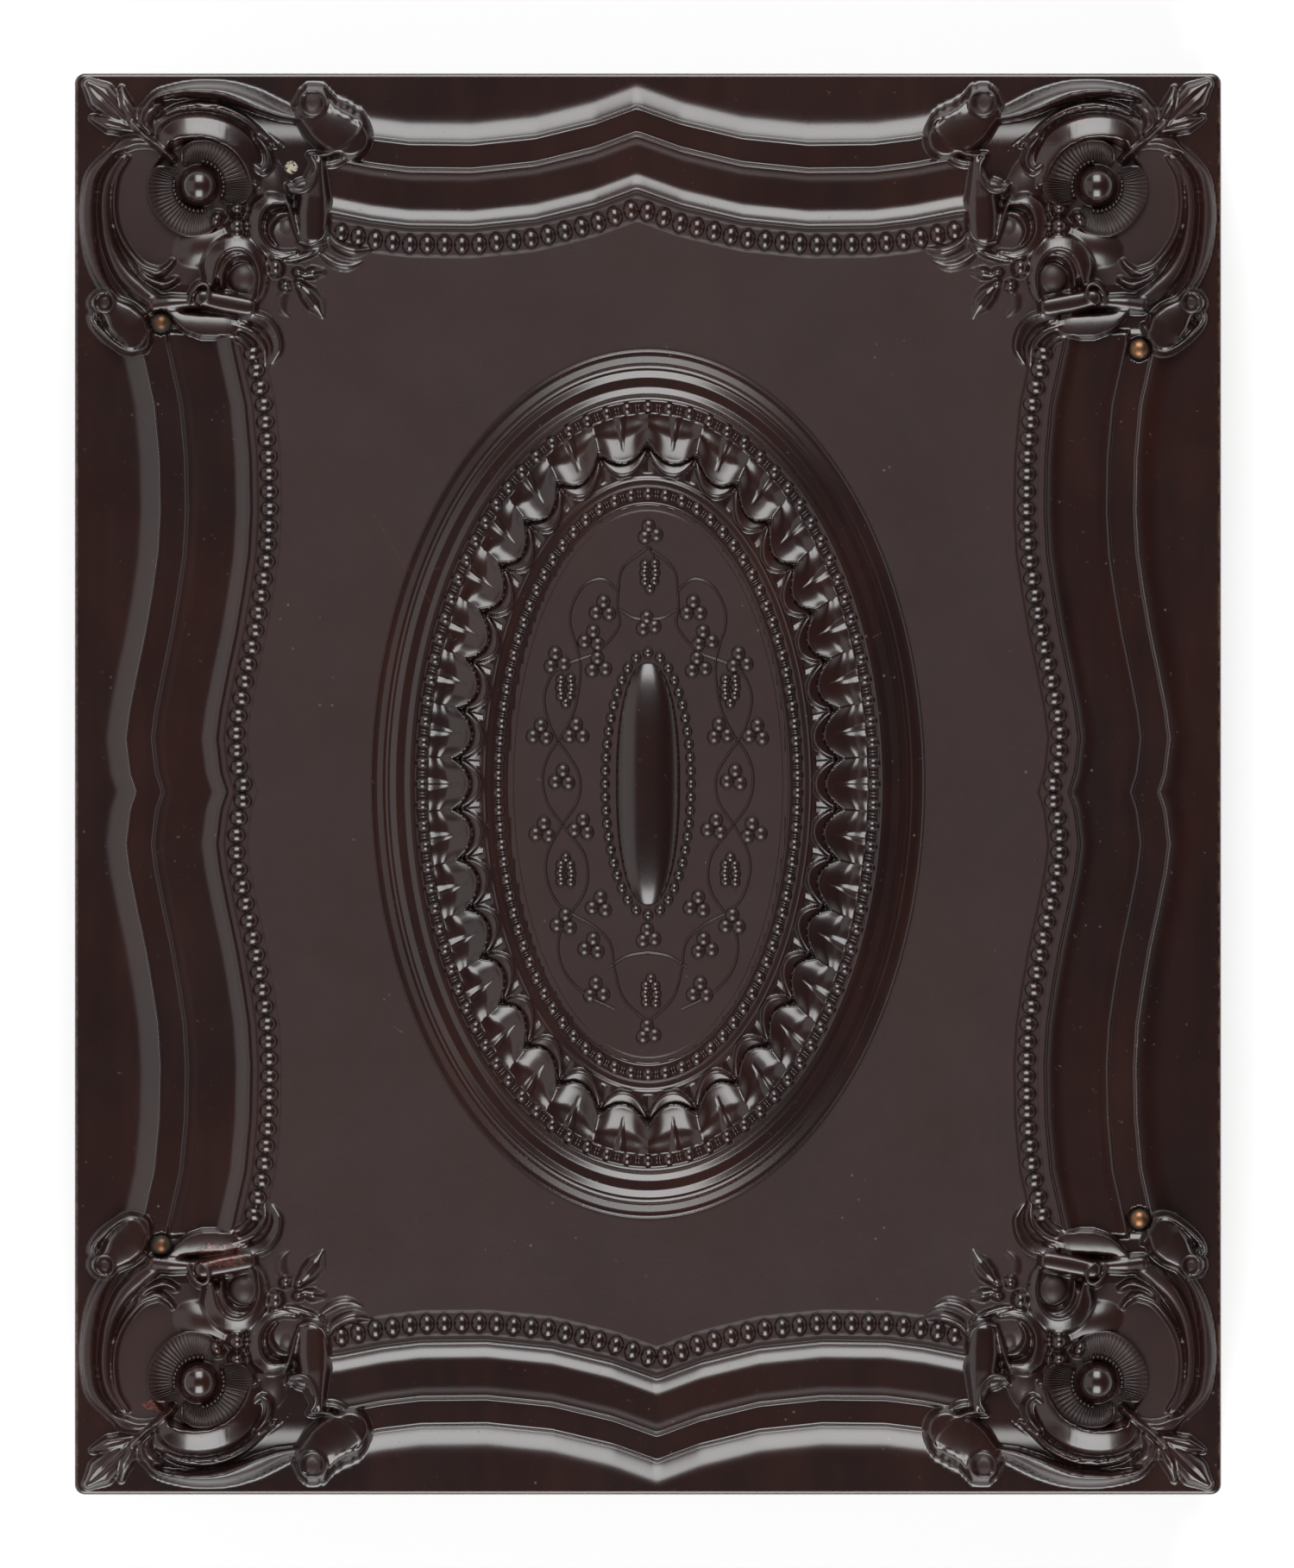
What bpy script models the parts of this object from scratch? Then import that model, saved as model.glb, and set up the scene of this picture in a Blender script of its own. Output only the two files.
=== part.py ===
"""A half-plate union case: a hinged moulded case for a small framed plate, closed and lying on its back.

The frame is in metres with +Z up. The origin is at the bottom centre of the whole case. The hinges are on
the -X side and the clasps on the +X side. The long side of the case runs along Y.
"""

import math

import bmesh
import bpy
import numpy as np
from mathutils import Matrix, Vector

# Plate packet: the sizes that everything around it follows.
PLATE_WIDTH = 0.1080
PLATE_HEIGHT = 0.1397
PLATE_THICKNESS = 0.0005
MAT_THICKNESS = 0.0004
MAT_WINDOW_WIDTH = 0.0780
MAT_WINDOW_HEIGHT = 0.1060
MAT_WINDOW_SEGMENTS = 40
GLASS_THICKNESS = 0.0015
PRESERVER_WALL = 0.0004
PRESERVER_LIP = 0.0042
STRIP_THICKNESS = 0.0008
STRIP_HEIGHT = 0.0072
SEAT_GAP = 0.0003

# Moulded shells.
SIDE_WALL = 0.0060
END_WALL = 0.00505
PANEL_THICKNESS = 0.0030
CAVITY_DEPTH = 0.0084
CORNER_RADIUS = 0.0011
CAVITY_RADIUS = 0.0010
EDGE_ROUND = 0.0004
RIM_GAP = 0.0003
RIM_BAND = 0.0014
RIM_OVERHANG = 0.0014
TONGUE_HEIGHT = 0.0013
REBATE_DEPTH = 0.0016
TONGUE_INSET = 0.0029

# Relief of the outer faces, measured from the flat field.
MARGIN_DROP = 0.0014
COVE_FOOT_SHARE = 0.45
COVE_RUN = 0.0012
RIDGE_FALL_RUN = 0.00035
FIRST_RIDGE_DROP = 0.0005
FIRST_VALLEY_DROP = 0.0008
SECOND_RIDGE_DROP = 0.0001
SECOND_VALLEY_DROP = 0.0005
THIRD_RIDGE_RISE = 0.0005
END_RIDGE_DEPTHS = (0.0036, 0.0067, 0.0126)
END_WAVE = 0.0040
SIDE_RIDGE_DEPTHS = (0.0056, 0.0087, 0.0154)
SIDE_WAVE = 0.0037
MEDALLION_WIDTH = 0.0600
MEDALLION_HEIGHT = 0.0944
MEDALLION_BAND = 0.0156
MEDALLION_STRETCH = 1.147
MEDALLION_RISE = 0.0014
BOSS_WIDTH = 0.0071
BOSS_HEIGHT = 0.0265
BOSS_RISE = 0.0016
FIELD_RISE = 0.00015

# The wave of the frame along half a side: place as a share of the half side, wave as a share of its height.
END_PLACE_SHARES = (0.0, 0.076, 0.18, 0.293, 0.405, 0.473, 0.544, 0.70, 1.0)
END_WAVE_SHARES = (0.0, 0.43, 0.82, 1.0, 0.98, 0.85, 0.63, 0.30, 0.0)
SIDE_PLACE_SHARES = (0.0, 0.026, 0.074, 0.112, 0.168, 0.222, 0.278, 0.33, 0.39, 0.464, 0.538, 0.62, 0.75,
                     1.0)
SIDE_WAVE_SHARES = (0.3, 0.12, 0.0, 0.10, 0.33, 0.57, 0.77, 0.93, 1.0, 0.97, 0.83, 0.45, 0.2, 0.0)

# Where the loft has points between the corners, as shares of a half side.
END_POINT_SHARES = (0.12, 0.27, 0.43, 0.62)
SIDE_POINT_SHARES = (0.075, 0.19, 0.30, 0.42, 0.56, 0.75)

# The medallion's mouldings, from its outer edge inward: shares of its band's width and of its rise.
MEDALLION_RUN_SHARES = (0.0, 0.025, 0.12, 0.135, 0.2, 0.25, 0.32, 0.42, 0.60, 0.80, 0.94, 1.0)
MEDALLION_RISE_SHARES = (0.0, 0.2, 0.34, 0.34, 0.6, 0.8, 0.56, 0.62, 0.42, 0.24, 0.45, -0.07)
BOSS_SIZE_SHARES = (1.0, 0.85, 0.5)
BOSS_RISE_SHARES = (0.0, 0.6, 1.0)

# The medallion's leaves. Their middle and half length are shares of its band's width, their half width
# is a share of their pitch.
LEAF_COUNT = 34
LEAF_SEGMENTS = 8
LEAF_RINGS = 4
LEAF_RUN_SHARE = 0.59
LEAF_REACH_SHARE = 0.165
LEAF_WIDTH_SHARE = 0.48
LEAF_RISE = 0.00125
LEAF_SINK = 0.0003
OVAL_STEPS = 2000

# Corner ornament: round forms by place from the corner, half sizes and rise above the field.
CORNER_SEGMENTS = 10
CORNER_RINGS = 6
CARTOUCHE_PLACE = (0.0146, 0.0136)
CARTOUCHE_SIZE = (0.0094, 0.0090, -0.0003)
BALL_PLACE = (0.0133, 0.0121)
BALL_SIZE = (0.0019, 0.0019, 0.0016)
END_ROLL_PLACE = (0.0286, 0.0061)
END_ROLL_SIZE = (0.0026, 0.0036, 0.0008)
SIDE_ROLL_PLACE = (0.0057, 0.0270)
SIDE_ROLL_SIZE = (0.0031, 0.0026, 0.0008)
END_SCROLL_PLACE = (0.0262, 0.0154)
END_SCROLL_SIZE = (0.0023, 0.0036, 0.0013)
SIDE_SCROLL_PLACE = (0.0168, 0.0248)
SIDE_SCROLL_SIZE = (0.0034, 0.0021, 0.0013)
END_VOLUTE_PLACE = (0.0219, 0.0172)
END_VOLUTE_SIZE = (0.0024, 0.0030, 0.0012)
SIDE_VOLUTE_PLACE = (0.0186, 0.0215)
SIDE_VOLUTE_SIZE = (0.0028, 0.0028, 0.0012)
ORNAMENT_SINK = 0.0022

# Raised bands of a corner. Their paths are places from the side and the end, as shares of the corner's reach.
CORNER_REACH = 0.0250
END_SCROLL_SHARES = ((0.29, 0.16), (0.39, 0.1), (0.51, 0.07), (0.64, 0.08), (0.82, 0.13), (0.98, 0.19))
SIDE_SCROLL_SHARES = ((0.18, 0.35), (0.1, 0.46), (0.08, 0.58), (0.1, 0.78), (0.17, 0.9), (0.24, 1.0))
COWL_SHARES = ((0.4, 0.29), (0.46, 0.24), (0.55, 0.22), (0.64, 0.24), (0.73, 0.3), (0.8, 0.42))
SPRAY_SHARES = ((0.06, 0.05), (0.14, 0.12), (0.21, 0.19), (0.28, 0.25), (0.36, 0.32), (0.44, 0.38))
CURL_SHARES = ((0.43, 1.04), (0.52, 1.08), (0.62, 1.09), (0.73, 1.07), (0.83, 1.11), (0.88, 1.22))
END_SCROLL_HALF = 0.0009
END_SCROLL_RISE = 0.0005
SIDE_SCROLL_HALF = 0.0014
SIDE_SCROLL_DROP = 0.0001
COWL_HALF = 0.0014
COWL_RISE = 0.00115
SPRAY_HALF = 0.0010
SPRAY_RISE = 0.0001
CURL_HALF = 0.0010
CURL_RISE = 0.0011
BAND_WIDTH_SHARES = (0.4, 0.85, 1.0, 1.0, 0.85, 0.4)
BAND_HEIGHT_SHARES = (0.75, 0.95, 1.0, 1.0, 0.95, 0.75)
BAND_ACROSS_SHARES = (-1.0, -0.75, 0.0, 0.75, 1.0)
BAND_RISE_SHARES = (0.0, 0.84, 1.0, 0.84, 0.0)

# Hinges: straps that embrace the side wall, and their barrels.
STRAP_THICKNESS = 0.0006
STRAP_SINK = 0.0002
LEAF_GAP = 0.0003
HINGE_WIDTH = 0.0140
HINGE_FROM_END = 0.02705
HINGE_RIVET_REACH = 0.0034
BARREL_RADIUS = 0.0011
BARREL_STANDOFF = 0.0001
BARREL_CLEARANCE = 0.0003
BARREL_SEGMENTS = 20
KNUCKLE_WIDTH = 0.0046
KNUCKLE_GAP = 0.0002
PIN_RADIUS = 0.0005
PIN_CLEARANCE = 0.0002
STRAP_TAIL = 0.0022

# Clasps: straps on the far side wall, a swinging hook and the stud that it catches.
CLASP_WIDTH = 0.0080
CLASP_FROM_END = 0.0299
CLASP_RIVET_REACH = 0.0029
PIVOT_DROP = 0.0032
STUD_RISE = 0.0024
OUTER_LEG_TAIL = 0.0021
HOOK_THICKNESS = 0.0005
HOOK_GAP = 0.00025
HOOK_EYE_RADIUS = 0.0018
HOOK_END_RADIUS = 0.0021
HOOK_ARM_WIDTH = 0.0020
HOOK_ARM_RELIEF = 0.00005
HOOK_SEGMENTS = 20
PIVOT_RADIUS = 0.0006
PIVOT_CLEARANCE = 0.0002
PIVOT_HEAD_RADIUS = 0.0013
PIVOT_HEAD_HEIGHT = 0.00035
HEAD_GAP = 0.0002

# Face rivets.
RIVET_RADIUS = 0.0008
RIVET_HEAD_RADIUS = 0.0011
RIVET_CLEARANCE = 0.0002
RIVET_SEAT_DROP = 0.0010
RIVET_DOME = 0.0007
RIVET_SEGMENTS = 12
DOME_STEPS = 3

# Pad in the cover.
PAD_THICKNESS = 0.0046
PAD_CROWN = 0.0012
PAD_BOARD_THICKNESS = 0.0008
PAD_CLEARANCE = 0.0005
PAD_DRAW_SHARE = 0.012
PAD_COLUMNS = 6
PAD_ROWS = 8

CUT_OVERRUN = 0.0020

# Worked out from the driving sizes.
PRESERVER_WIDTH = PLATE_WIDTH + 2 * (SEAT_GAP + PRESERVER_WALL)
PRESERVER_HEIGHT = PLATE_HEIGHT + 2 * (SEAT_GAP + PRESERVER_WALL)
CAVITY_WIDTH = PRESERVER_WIDTH + 2 * (SEAT_GAP + STRIP_THICKNESS + SEAT_GAP)
CAVITY_HEIGHT = PRESERVER_HEIGHT + 2 * (SEAT_GAP + STRIP_THICKNESS + SEAT_GAP)
CASE_WIDTH = CAVITY_WIDTH + 2 * SIDE_WALL
CASE_HEIGHT = CAVITY_HEIGHT + 2 * END_WALL
HALF_WIDTH = CASE_WIDTH / 2
HALF_HEIGHT = CASE_HEIGHT / 2
HINGE_Y = HALF_HEIGHT - HINGE_FROM_END
CLASP_Y = HALF_HEIGHT - CLASP_FROM_END
FIELD_LEVEL = CAVITY_DEPTH + PANEL_THICKNESS
MARGIN_LEVEL = FIELD_LEVEL - MARGIN_DROP
TOP_LEVEL = FIELD_LEVEL + max(BOSS_RISE, BALL_SIZE[2])
WALL_X = HALF_WIDTH - RIM_OVERHANG
HOOK_START = WALL_X + HOOK_GAP
HEAD_START = HOOK_START + HOOK_THICKNESS + HEAD_GAP
PARTING_Z = TOP_LEVEL
AXIS_X = -WALL_X - BARREL_STANDOFF
HOOK_ARM = PIVOT_DROP + STUD_RISE
STRAP_MIDDLE = LEAF_GAP / 2 + STRAP_THICKNESS / 2
SEAT_MIDDLE = STRAP_SINK + STRAP_THICKNESS / 2
SEAT_DEPTH_SIDE = STRAP_THICKNESS / 2 + SEAT_GAP


def clear_scene():
    """Removes what the scene held before."""
    for old in list(bpy.data.objects):
        bpy.data.objects.remove(old)


def new_collection(name, hidden=False):
    made = bpy.data.collections.new(name)
    bpy.context.scene.collection.children.link(made)
    made.hide_render = hidden
    return made


def new_material(name, colour, roughness, metallic=0.0):
    made = bpy.data.materials.new(name)
    made.use_nodes = True
    shader = made.node_tree.nodes["Principled BSDF"]
    shader.inputs["Base Color"].default_value = (*colour, 1.0)
    shader.inputs["Roughness"].default_value = roughness
    shader.inputs["Metallic"].default_value = metallic
    return made


def object_from_bmesh(name, work, collection, material=None):
    mesh = bpy.data.meshes.new(name)
    work.to_mesh(mesh)
    work.free()
    made = bpy.data.objects.new(name, mesh)
    collection.objects.link(made)
    if material:
        mesh.materials.append(material)
    return made


def as_cutter(made):
    made.hide_render = True
    made.display_type = "WIRE"
    return made


def box(name, low, high, collection, material=None, chamfer=None):
    """A box from its lowest to its highest corner, whose upright edges may be chamfered."""
    low, high = Vector(low), Vector(high)
    size = high - low
    work = bmesh.new()
    bmesh.ops.create_cube(work, size=1.0)
    bmesh.ops.scale(work, vec=size, verts=work.verts)
    bmesh.ops.translate(work, vec=(low + high) / 2, verts=work.verts)
    if chamfer:
        upright = [edge for edge in work.edges if edge.verts[0].co.xy == edge.verts[1].co.xy]
        bmesh.ops.bevel(work, geom=upright, offset=chamfer, offset_type="OFFSET", segments=1,
                        affect="EDGES")
    return object_from_bmesh(name, work, collection, material)


def cylinder(name, start, end, radius, segments, collection, material=None):
    """A closed cylinder between two points."""
    start, end = Vector(start), Vector(end)
    along = end - start
    turn = along.to_track_quat("Z", "Y").to_matrix().to_4x4()
    work = bmesh.new()
    bmesh.ops.create_cone(work, cap_ends=True, segments=segments, radius1=radius, radius2=radius,
                          depth=along.length, matrix=Matrix.Translation((start + end) / 2) @ turn)
    return object_from_bmesh(name, work, collection, material)


def turned(name, profile, place, axis, segments, collection, material):
    """A profile of (radius, height) points, from its top to its foot, turned about an axis at a place."""
    mesh = bpy.data.meshes.new(name)
    mesh.from_pydata([(radius, 0.0, height) for radius, height in profile], [(i, i + 1) for i in
                     range(len(profile) - 1)], [])
    made = bpy.data.objects.new(name, mesh)
    collection.objects.link(made)
    mesh.materials.append(material)
    screw = made.modifiers.new("Turn", "SCREW")
    screw.steps = segments
    screw.render_steps = segments
    screw.use_merge_vertices = True
    screw.merge_threshold = min(PIN_CLEARANCE, PIVOT_CLEARANCE) * 0.01
    screw.use_smooth_shade = True
    made.location = place
    made.rotation_mode = "QUATERNION"
    made.rotation_quaternion = Vector(axis).to_track_quat("Z", "Y")
    return made


def extruded(name, outline, to_world, thickness, collection, material=None):
    """A flat outline in its own XY plane, given a thickness about that plane and placed by a matrix."""
    curve = bpy.data.curves.new(name, "CURVE")
    curve.dimensions = "2D"
    curve.fill_mode = "BOTH"
    curve.extrude = thickness / 2
    spline = curve.splines.new("POLY")
    spline.points.add(len(outline) - 1)
    for point, (x, y) in zip(spline.points, outline):
        point.co = (x, y, 0.0, 1.0)
    spline.use_cyclic_u = True
    source = bpy.data.objects.new(name + "_outline", curve)
    collection.objects.link(source)
    bpy.context.view_layer.update()
    graph = bpy.context.evaluated_depsgraph_get()
    mesh = bpy.data.meshes.new_from_object(source.evaluated_get(graph))
    bpy.data.objects.remove(source)
    work = bmesh.new()
    work.from_mesh(mesh)
    bmesh.ops.remove_doubles(work, verts=work.verts, dist=thickness * 0.001)
    bmesh.ops.transform(work, matrix=to_world, verts=work.verts)
    bmesh.ops.recalc_face_normals(work, faces=work.faces)
    bpy.data.meshes.remove(mesh)
    return object_from_bmesh(name, work, collection, material)


def combine(made, operation, others):
    """Adds one Boolean modifier for each other object, which becomes a cutter."""
    for other in others:
        step = made.modifiers.new(operation.title(), "BOOLEAN")
        step.operation = operation
        step.solver = "EXACT"
        step.object = other
        as_cutter(other)
    return made


def loft(name, rings, collection, material=None):
    """A closed solid through rings of as many points each, from one flat cap to the other."""
    work = bmesh.new()
    layers = [[work.verts.new(point) for point in ring] for ring in rings]
    count = len(layers[0])
    for lower, upper in zip(layers, layers[1:]):
        for i in range(count):
            j = (i + 1) % count
            work.faces.new((lower[i], lower[j], upper[j], upper[i]))
    work.faces.new(layers[0])
    work.faces.new(layers[-1])
    bmesh.ops.recalc_face_normals(work, faces=work.faces)
    bmesh.ops.triangulate(work, faces=work.faces)
    return object_from_bmesh(name, work, collection, material)


def end_wave(place):
    return END_WAVE * np.interp(abs(place), END_PLACE_SHARES, END_WAVE_SHARES)


def side_wave(place):
    return SIDE_WAVE * np.interp(abs(place), SIDE_PLACE_SHARES, SIDE_WAVE_SHARES)


def both_ways(shares):
    """Shares of a half side, run from one end of the side to the other."""
    return [-s for s in reversed(shares)] + [0.0] + list(shares)


def frame_ring(side_inset, end_inset, level, radius, wave=0.0):
    """One ring of the case: a rounded rectangle, whose sides follow the frame's wave by the share given."""
    x, y = HALF_WIDTH - side_inset, HALF_HEIGHT - end_inset
    bend = radius * (1 - math.sqrt(0.5))
    corners = [(x, y - radius), (x - bend, y - bend), (x - radius, y)]
    points = []
    for share in both_ways(SIDE_POINT_SHARES):
        points.append((x - wave * side_wave(share), share * (y - radius), level))
    points += [(cx, cy, level) for cx, cy in corners]
    for share in reversed(both_ways(END_POINT_SHARES)):
        points.append((share * (x - radius), y - wave * end_wave(share), level))
    points += [(-cx, cy, level) for cx, cy in reversed(corners)]
    for share in reversed(both_ways(SIDE_POINT_SHARES)):
        points.append((-x + wave * side_wave(share), share * (y - radius), level))
    points += [(-cx, -cy, level) for cx, cy in corners]
    for share in both_ways(END_POINT_SHARES):
        points.append((share * (x - radius), -y + wave * end_wave(share), level))
    points += [(cx, -cy, level) for cx, cy in reversed(corners)]
    return points


def ridge_ring(ridge, shift, level):
    """A ring along one of the frame's three ridge lines, shifted inward."""
    side, end = SIDE_RIDGE_DEPTHS[ridge] + shift, END_RIDGE_DEPTHS[ridge] + shift
    return frame_ring(side, end, level, CORNER_RADIUS, 1.0)


def oval_ring(width, height, level):
    """An oval ring, whose points lie in the directions of the frame's points."""
    points = []
    for x, y, _ in frame_ring(0.0, 0.0, level, CORNER_RADIUS):
        turn = math.atan2(y / height, x / width)
        points.append((width / 2 * math.cos(turn), height / 2 * math.sin(turn), level))
    return points


def wall_rings():
    """The outer wall, from the parting plane up: a plain wall, then a band that overhangs it at the face."""
    rim_start = MARGIN_LEVEL - RIM_BAND
    foot = RIM_OVERHANG + EDGE_ROUND
    return [
        frame_ring(foot, foot, RIM_GAP / 2, CORNER_RADIUS),
        frame_ring(RIM_OVERHANG, RIM_OVERHANG, RIM_GAP / 2 + EDGE_ROUND, CORNER_RADIUS),
        frame_ring(RIM_OVERHANG, RIM_OVERHANG, rim_start - RIM_OVERHANG, CORNER_RADIUS),
        frame_ring(0.0, 0.0, rim_start, CORNER_RADIUS),
        frame_ring(0.0, 0.0, MARGIN_LEVEL - EDGE_ROUND, CORNER_RADIUS),
        frame_ring(EDGE_ROUND, EDGE_ROUND, MARGIN_LEVEL, CORNER_RADIUS),
    ]


def relief_rings():
    """The face's relief, from the margin to the boss in the middle."""
    side_depth, end_depth = SIDE_RIDGE_DEPTHS[0], END_RIDGE_DEPTHS[0]
    first = FIELD_LEVEL - FIRST_RIDGE_DROP
    second = FIELD_LEVEL - SECOND_RIDGE_DROP
    third = FIELD_LEVEL + THIRD_RIDGE_RISE
    middle = (SIDE_RIDGE_DEPTHS[2] - SIDE_RIDGE_DEPTHS[1]) / 2
    rings = [
        frame_ring(side_depth * COVE_FOOT_SHARE, end_depth * COVE_FOOT_SHARE, MARGIN_LEVEL, CORNER_RADIUS,
                   COVE_FOOT_SHARE),
        ridge_ring(0, -COVE_RUN, (MARGIN_LEVEL + MARGIN_LEVEL + first) / 3),
        ridge_ring(0, 0.0, first),
        ridge_ring(0, RIDGE_FALL_RUN, FIELD_LEVEL - FIRST_VALLEY_DROP),
        ridge_ring(1, 0.0, second),
        ridge_ring(1, RIDGE_FALL_RUN, FIELD_LEVEL - SECOND_VALLEY_DROP),
        ridge_ring(1, middle, FIELD_LEVEL - SECOND_VALLEY_DROP),
        ridge_ring(2, 0.0, third),
        ridge_ring(2, RIDGE_FALL_RUN, FIELD_LEVEL),
    ]
    for run, rise in zip(MEDALLION_RUN_SHARES, MEDALLION_RISE_SHARES):
        inward = 2 * run * MEDALLION_BAND
        rings.append(oval_ring(MEDALLION_WIDTH - inward, MEDALLION_HEIGHT - inward * MEDALLION_STRETCH,
                               FIELD_LEVEL + rise * MEDALLION_RISE))
    for size, rise in zip(BOSS_SIZE_SHARES, BOSS_RISE_SHARES):
        rings.append(oval_ring(BOSS_WIDTH * size, BOSS_HEIGHT * size,
                               FIELD_LEVEL + FIELD_RISE + rise * (BOSS_RISE - FIELD_RISE)))
    return rings


def cover_inside():
    """The cover's cavity and the rebate that takes the tongue, from the roof to the parting plane."""
    clear = TONGUE_INSET - SEAT_GAP
    return [
        frame_ring(SIDE_WALL, END_WALL, CAVITY_DEPTH, CAVITY_RADIUS),
        frame_ring(SIDE_WALL, END_WALL, REBATE_DEPTH, CAVITY_RADIUS),
        frame_ring(clear, clear, REBATE_DEPTH, CAVITY_RADIUS),
        frame_ring(clear, clear, RIM_GAP / 2, CAVITY_RADIUS),
    ]


def base_inside():
    """The base's cavity and its tongue, which rises past the parting plane."""
    return [
        frame_ring(SIDE_WALL, END_WALL, CAVITY_DEPTH, CAVITY_RADIUS),
        frame_ring(SIDE_WALL, END_WALL, -TONGUE_HEIGHT, CAVITY_RADIUS),
        frame_ring(TONGUE_INSET, TONGUE_INSET, -TONGUE_HEIGHT, CAVITY_RADIUS),
        frame_ring(TONGUE_INSET, TONGUE_INSET, RIM_GAP / 2, CAVITY_RADIUS),
    ]


def corner_forms():
    """Place and half sizes of each round form of a corner."""
    return [
        (CARTOUCHE_PLACE, CARTOUCHE_SIZE),
        (BALL_PLACE, BALL_SIZE),
        (END_ROLL_PLACE, END_ROLL_SIZE),
        (SIDE_ROLL_PLACE, SIDE_ROLL_SIZE),
        (END_SCROLL_PLACE, END_SCROLL_SIZE),
        (SIDE_SCROLL_PLACE, SIDE_SCROLL_SIZE),
        (END_VOLUTE_PLACE, END_VOLUTE_SIZE),
        (SIDE_VOLUTE_PLACE, SIDE_VOLUTE_SIZE),
    ]


def corner_bands():
    """Path, half width and rise of each raised band of a corner."""
    return [
        (END_SCROLL_SHARES, END_SCROLL_HALF, END_SCROLL_RISE),
        (SIDE_SCROLL_SHARES, SIDE_SCROLL_HALF, -SIDE_SCROLL_DROP),
        (COWL_SHARES, COWL_HALF, COWL_RISE),
        (SPRAY_SHARES, SPRAY_HALF, SPRAY_RISE),
        (CURL_SHARES, CURL_HALF, CURL_RISE),
    ]


def half_egg(work, place, turn, size, sink, segments, rings):
    """Adds the upper half of an egg shape, whose foot is sunk under the field, to a mesh being made."""
    width, height, rise = size
    foot = Matrix.Translation((*place, FIELD_LEVEL - sink)) @ Matrix.Rotation(turn, 4, "Z")
    to_size = Matrix.Diagonal((width, height, rise + sink, 1.0))
    made = bmesh.ops.create_uvsphere(work, u_segments=segments, v_segments=rings, radius=1.0,
                                     matrix=foot @ to_size)
    verts = set(made["verts"])
    edges = [edge for edge in work.edges if edge.verts[0] in verts]
    faces = [face for face in work.faces if face.verts[0] in verts]
    bmesh.ops.bisect_plane(work, geom=made["verts"] + edges + faces, plane_co=foot.translation,
                           plane_no=(0.0, 0.0, 1.0), clear_inner=True)
    bmesh.ops.holes_fill(work, edges=[edge for edge in work.edges if edge.is_boundary], sides=0)


def band(name, path, half_width, rise, collection):
    """A raised band along a path in the face, sunk in it, and narrower toward both ends."""
    foot = FIELD_LEVEL - ORNAMENT_SINK
    rings = []
    for i, (point, width, height) in enumerate(zip(path, BAND_WIDTH_SHARES, BAND_HEIGHT_SHARES)):
        along = (path[min(i + 1, len(path) - 1)] - path[max(i - 1, 0)]).normalized()
        side = Vector((-along.y, along.x)) * half_width * width
        top = height * (rise + ORNAMENT_SINK)
        rings.append([(*(point + across * side), foot + up * top) for across, up in
                      zip(BAND_ACROSS_SHARES, BAND_RISE_SHARES)])
    return loft(name, rings, collection)


def corner_ornaments(name, collection):
    """The round forms and raised bands of all four corners, sunk in the face."""
    made = []
    for x_side, y_side in ((-1, -1), (-1, 1), (1, -1), (1, 1)):
        label = f"{name}_{x_side}_{y_side}"
        for number, ((x, y), size) in enumerate(corner_forms()):
            work = bmesh.new()
            place = x_side * (HALF_WIDTH - x), y_side * (HALF_HEIGHT - y)
            half_egg(work, place, 0.0, size, ORNAMENT_SINK, CORNER_SEGMENTS, CORNER_RINGS)
            made.append(object_from_bmesh(f"{label}_form_{number}", work, collection))
        for number, (shares, half_width, rise) in enumerate(corner_bands()):
            places = [(HALF_WIDTH - x * CORNER_REACH, HALF_HEIGHT - y * CORNER_REACH) for x, y in shares]
            path = [Vector((x_side * x, y_side * y)) for x, y in places]
            made.append(band(f"{label}_band_{number}", path, half_width, rise, collection))
    return made


def medallion_leaves(name, collection):
    """The ring of round leaves on the medallion, an even distance apart, long way across the band."""
    inward = 2 * LEAF_RUN_SHARE * MEDALLION_BAND
    across, along = (MEDALLION_WIDTH - inward) / 2, (MEDALLION_HEIGHT - inward * MEDALLION_STRETCH) / 2
    turns = np.linspace(0.0, 2 * math.pi, OVAL_STEPS + 1)
    x, y = across * np.cos(turns), along * np.sin(turns)
    reach = np.append(0.0, np.cumsum(np.hypot(np.diff(x), np.diff(y))))
    pitch = reach[-1] / LEAF_COUNT
    work = bmesh.new()
    for turn in np.interp((np.arange(LEAF_COUNT) + 0.5) * pitch, reach, turns):
        place = across * math.cos(turn), along * math.sin(turn)
        outward = math.atan2(across * math.sin(turn), along * math.cos(turn))
        size = LEAF_REACH_SHARE * MEDALLION_BAND, LEAF_WIDTH_SHARE * pitch, LEAF_RISE
        half_egg(work, place, outward, size, LEAF_SINK, LEAF_SEGMENTS, LEAF_RINGS)
    return object_from_bmesh(name + "_leaves", work, collection)


def strip_outline(path, left, right):
    """The outline of a bent strip: a path of square bends, moved out to its left and to its right."""
    path = [Vector(p) for p in path]
    lines = []
    for offset in (left, -right):
        line = []
        for i, point in enumerate(path):
            before = (point - path[i - 1]).normalized() if i else None
            after = (path[i + 1] - point).normalized() if i + 1 < len(path) else None
            sides = [Vector((-d.y, d.x)) for d in (before, after) if d is not None]
            line.append(point + offset * sum(sides, Vector((0.0, 0.0))))
        lines.append([tuple(p) for p in line])
    return lines[0] + lines[1][::-1]


def wall_path(rivet_reach):
    """The path of a strap on the right-hand wall, in x and z: over the wall, down inside it, along the floor.

    The half is taken as lying below z 0, the parting plane."""
    inner = HALF_WIDTH - SIDE_WALL + SEAT_MIDDLE
    floor = -CAVITY_DEPTH - SEAT_MIDDLE
    foot = HALF_WIDTH - SIDE_WALL - rivet_reach - STRAP_TAIL
    return [(inner, -STRAP_MIDDLE), (inner, floor), (foot, floor)]


def at_height(y):
    """Places an outline of x and z at a distance along Y, with its thickness along Y."""
    return Matrix.Translation((0.0, y, 0.0)) @ Matrix.Rotation(math.pi / 2, 4, "X")


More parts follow.
